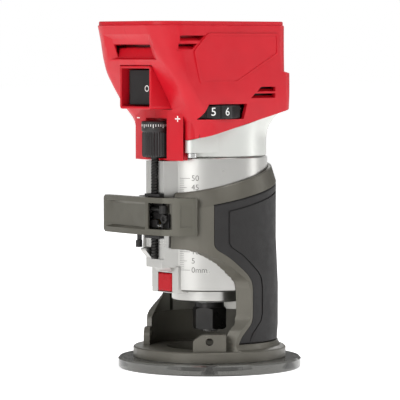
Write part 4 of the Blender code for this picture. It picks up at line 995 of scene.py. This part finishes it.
def make_softened():
    """The plainer pieces again, with their edges broken."""
    plate = from_node("adjust_carrier", "carrier")
    cut(plate, block((-12.0, -3.4), (-50.0, -30.0), (94.9, 100.0)),
        block((-12.0, -3.4), (-50.0, -30.0), (70.0, 75.6)))
    piece(tidy(plate), "carrier_plate", "base", BLACK, "black_plastic", ("adjust_carrier",), bevel=0.22)
    rows = (("release_slider", "slider_plate", "release", BLACK, "black_plastic", 0.22),
            ("upper_collar", "collar_casting", "motor", SILVER, "silver_casting", 0.35),
            ("bearing_retainer", "retainer_ring", "motor", MACHINED, "silver_casting", 0.3),
            ("terminal_block", "terminal_body", "motor", BLACK, "black_plastic", 0.4),
            ("tension_bolt", "cross_bolt", "base", DARK_STEEL, "dark_steel", 0.25))
    for node, name, body, paint, slot, bevel in rows:
        piece(from_node(node, name), name, body, paint, slot, (node,), bevel=bevel)


def make_screws():
    """Screw heads with hexagonal sockets."""
    for number, angle in enumerate(PLATE_ANGLES, 1):
        x, y = polar(angle, PLATE_SCREW_RADIUS)
        screw = turned("screw", [(0.0, 11.0), (1.6, 11.0), (1.95, 10.5), (1.95, 3.0), (3.8, 1.0), (3.8, 0.7),
                                 (0.0, 0.7)], 40, (x, y))
        cut(screw, rod((x, y, -1.0), (x, y, 2.6), 1.6, 6))
        piece(screw, "plate_screw_%d" % number, "base", STEEL, "steel", ("sub_base_screw_%d" % number,),
              bevel=0.12)
    for number, (front, height) in enumerate(HOUSING_SCREWS, 1):
        screw = rod((-26.7, -front, height), (-29.0, -front, height), 2.7, 40)
        join(screw, rod((-28.0, -front, height), (12.0, -front, height), 1.25, 20))
        cut(screw, rod((-30.0, -front, height), (-27.5, -front, height), 1.35, 6))
        piece(screw, "case_screw_%d" % number, "motor", STEEL, "steel", ("housing_screw_%d" % number,),
              bevel=0.2)
    for number, (x, y) in enumerate(COLLAR_SCREWS, 1):
        seat, tip = (119.7, 136.0) if y < 0.0 else (121.7, 146.0)
        screw = turned("screw", [(0.0, tip), (1.35, tip), (1.35, seat), (2.9, seat), (2.9, seat - 2.4),
                                 (0.0, seat - 2.4)], 40, (x, y))
        cut(screw, rod((x, y, seat - 3.0), (x, y, seat - 1.0), 1.4, 6))
        piece(screw, "casting_screw_%d" % number, "motor", STEEL, "steel", ("collar_screw_%d" % number,),
              bevel=0.2)
    x, height = BRACKET_SCREW
    head = rod((x, -41.2, height), (x, -42.9, height), 2.6, 40)
    join(head, rod((x, -41.8, height), (x, -34.5, height), 1.05, 20))
    cut(head, rod((x, -43.5, height), (x, -42.0, height), 1.35, 6))
    piece(head, "bracket_screw", "base", DARK_STEEL, "dark_steel", ("carrier_screw",), bevel=0.3)
    nut = rod((-16.6, *CROSS_BOLT), (-14.3, *CROSS_BOLT), 2.7, 6)
    spot = Matrix.Translation((0.0, *CROSS_BOLT))
    nut.data.transform(spot @ Matrix.Rotation(math.radians(30.0), 4, 'X') @ spot.inverted())
    cut(nut, rod((-20.0, *CROSS_BOLT), (-10.0, *CROSS_BOLT), 1.5))
    piece(nut, "lock_nut", "base", DARK_STEEL, "dark_steel", ("tension_nut",), bevel=0.15)


make_softened()
make_screws()


# ---------------- stage, light and camera

CAMERA_SPOT = (1.1544, -0.9641, 0.1757)
CAMERA_AIM = (-0.0034, 0.0008, 0.0924)


def make_stage():
    floor = block((-9000.0, 9000.0), (-9000.0, 9000.0), (-20.0, 0.0), "studio_floor")
    floor.data.transform(Matrix.Scale(MM, 4))
    pale = bpy.data.materials.new("studio_paper")
    pale.use_nodes = True
    paper = pale.node_tree.nodes["Principled BSDF"]
    paper.inputs["Base Color"].default_value = (0.9, 0.9, 0.9, 1.0)
    paper.inputs["Roughness"].default_value = 0.9
    paper.inputs["Emission Color"].default_value = (1.0, 1.0, 1.0, 1.0)
    paper.inputs["Emission Strength"].default_value = 0.76
    floor.data.materials.append(pale)


def make_world():
    """White to look at, and a softer grey as a light, darkest level with the horizon."""
    world = bpy.data.worlds.new("studio")
    SCENE.world = world
    world.use_nodes = True
    tree = world.node_tree
    backdrop = tree.nodes["Background"]
    glow = tree.nodes.new("ShaderNodeBackground")
    coords = tree.nodes.new("ShaderNodeTexCoord")
    parts = tree.nodes.new("ShaderNodeSeparateXYZ")
    rise = tree.nodes.new("ShaderNodeMapRange")
    rise.inputs["From Min"].default_value = 0.0
    rise.inputs["From Max"].default_value = 0.8
    rise.inputs["To Min"].default_value = 0.12
    rise.inputs["To Max"].default_value = 0.42
    tree.links.new(coords.outputs["Generated"], parts.inputs["Vector"])
    tree.links.new(parts.outputs["Z"], rise.inputs["Value"])
    tree.links.new(rise.outputs["Result"], glow.inputs["Strength"])
    path = tree.nodes.new("ShaderNodeLightPath")
    mix = tree.nodes.new("ShaderNodeMixShader")
    tree.links.new(path.outputs["Is Camera Ray"], mix.inputs["Fac"])
    tree.links.new(glow.outputs["Background"], mix.inputs[1])
    tree.links.new(backdrop.outputs["Background"], mix.inputs[2])
    tree.links.new(mix.outputs["Shader"], tree.nodes["World Output"].inputs["Surface"])
    backdrop.inputs["Color"].default_value = (1.0, 1.0, 1.0, 1.0)
    backdrop.inputs["Strength"].default_value = 1.0


def add_light(name, spot, aim, size, power):
    light = bpy.data.lights.new(name, 'AREA')
    light.shape = 'RECTANGLE'
    light.size, light.size_y = size
    light.energy = power
    lamp = bpy.data.objects.new(name, light)
    SCENE.collection.objects.link(lamp)
    lamp.location = spot
    lamp.rotation_euler = (Vector(aim) - Vector(spot)).to_track_quat('-Z', 'Y').to_euler()


def make_lights():
    """Name, place, the point it faces, width and height, and power in watts."""
    add_light("key_light", (0.28, -1.4, 0.62), (0.0, 0.0, 0.1), (0.85, 1.1), 9.5)
    add_light("right_light", (0.74, 1.12, 0.5), (0.0, 0.0, 0.1), (0.4, 1.0), 3.0)
    add_light("side_fill", (1.0, -0.15, 1.25), (0.0, 0.0, 0.12), (0.5, 0.5), 6.0)
    add_light("top_light", (0.0, 0.1, 1.4), (0.0, 0.0, 0.1), (1.0, 1.0), 4.0)
    add_light("back_light", (-0.9, 1.1, 0.8), (0.0, 0.0, 0.1), (0.8, 0.8), 4.0)


def make_camera():
    lens = bpy.data.cameras.new("camera")
    lens.sensor_width = 36.0
    lens.lens = 245.0
    lens.clip_end = 60.0
    camera = bpy.data.objects.new("camera", lens)
    SCENE.collection.objects.link(camera)
    camera.location = CAMERA_SPOT
    sight = Vector(CAMERA_AIM) - camera.location
    camera.rotation_euler = sight.to_track_quat('-Z', 'Y').to_euler()
    SCENE.camera = camera


make_stage()
make_world()
make_lights()
make_camera()
SCENE.view_settings.view_transform = 'Standard'
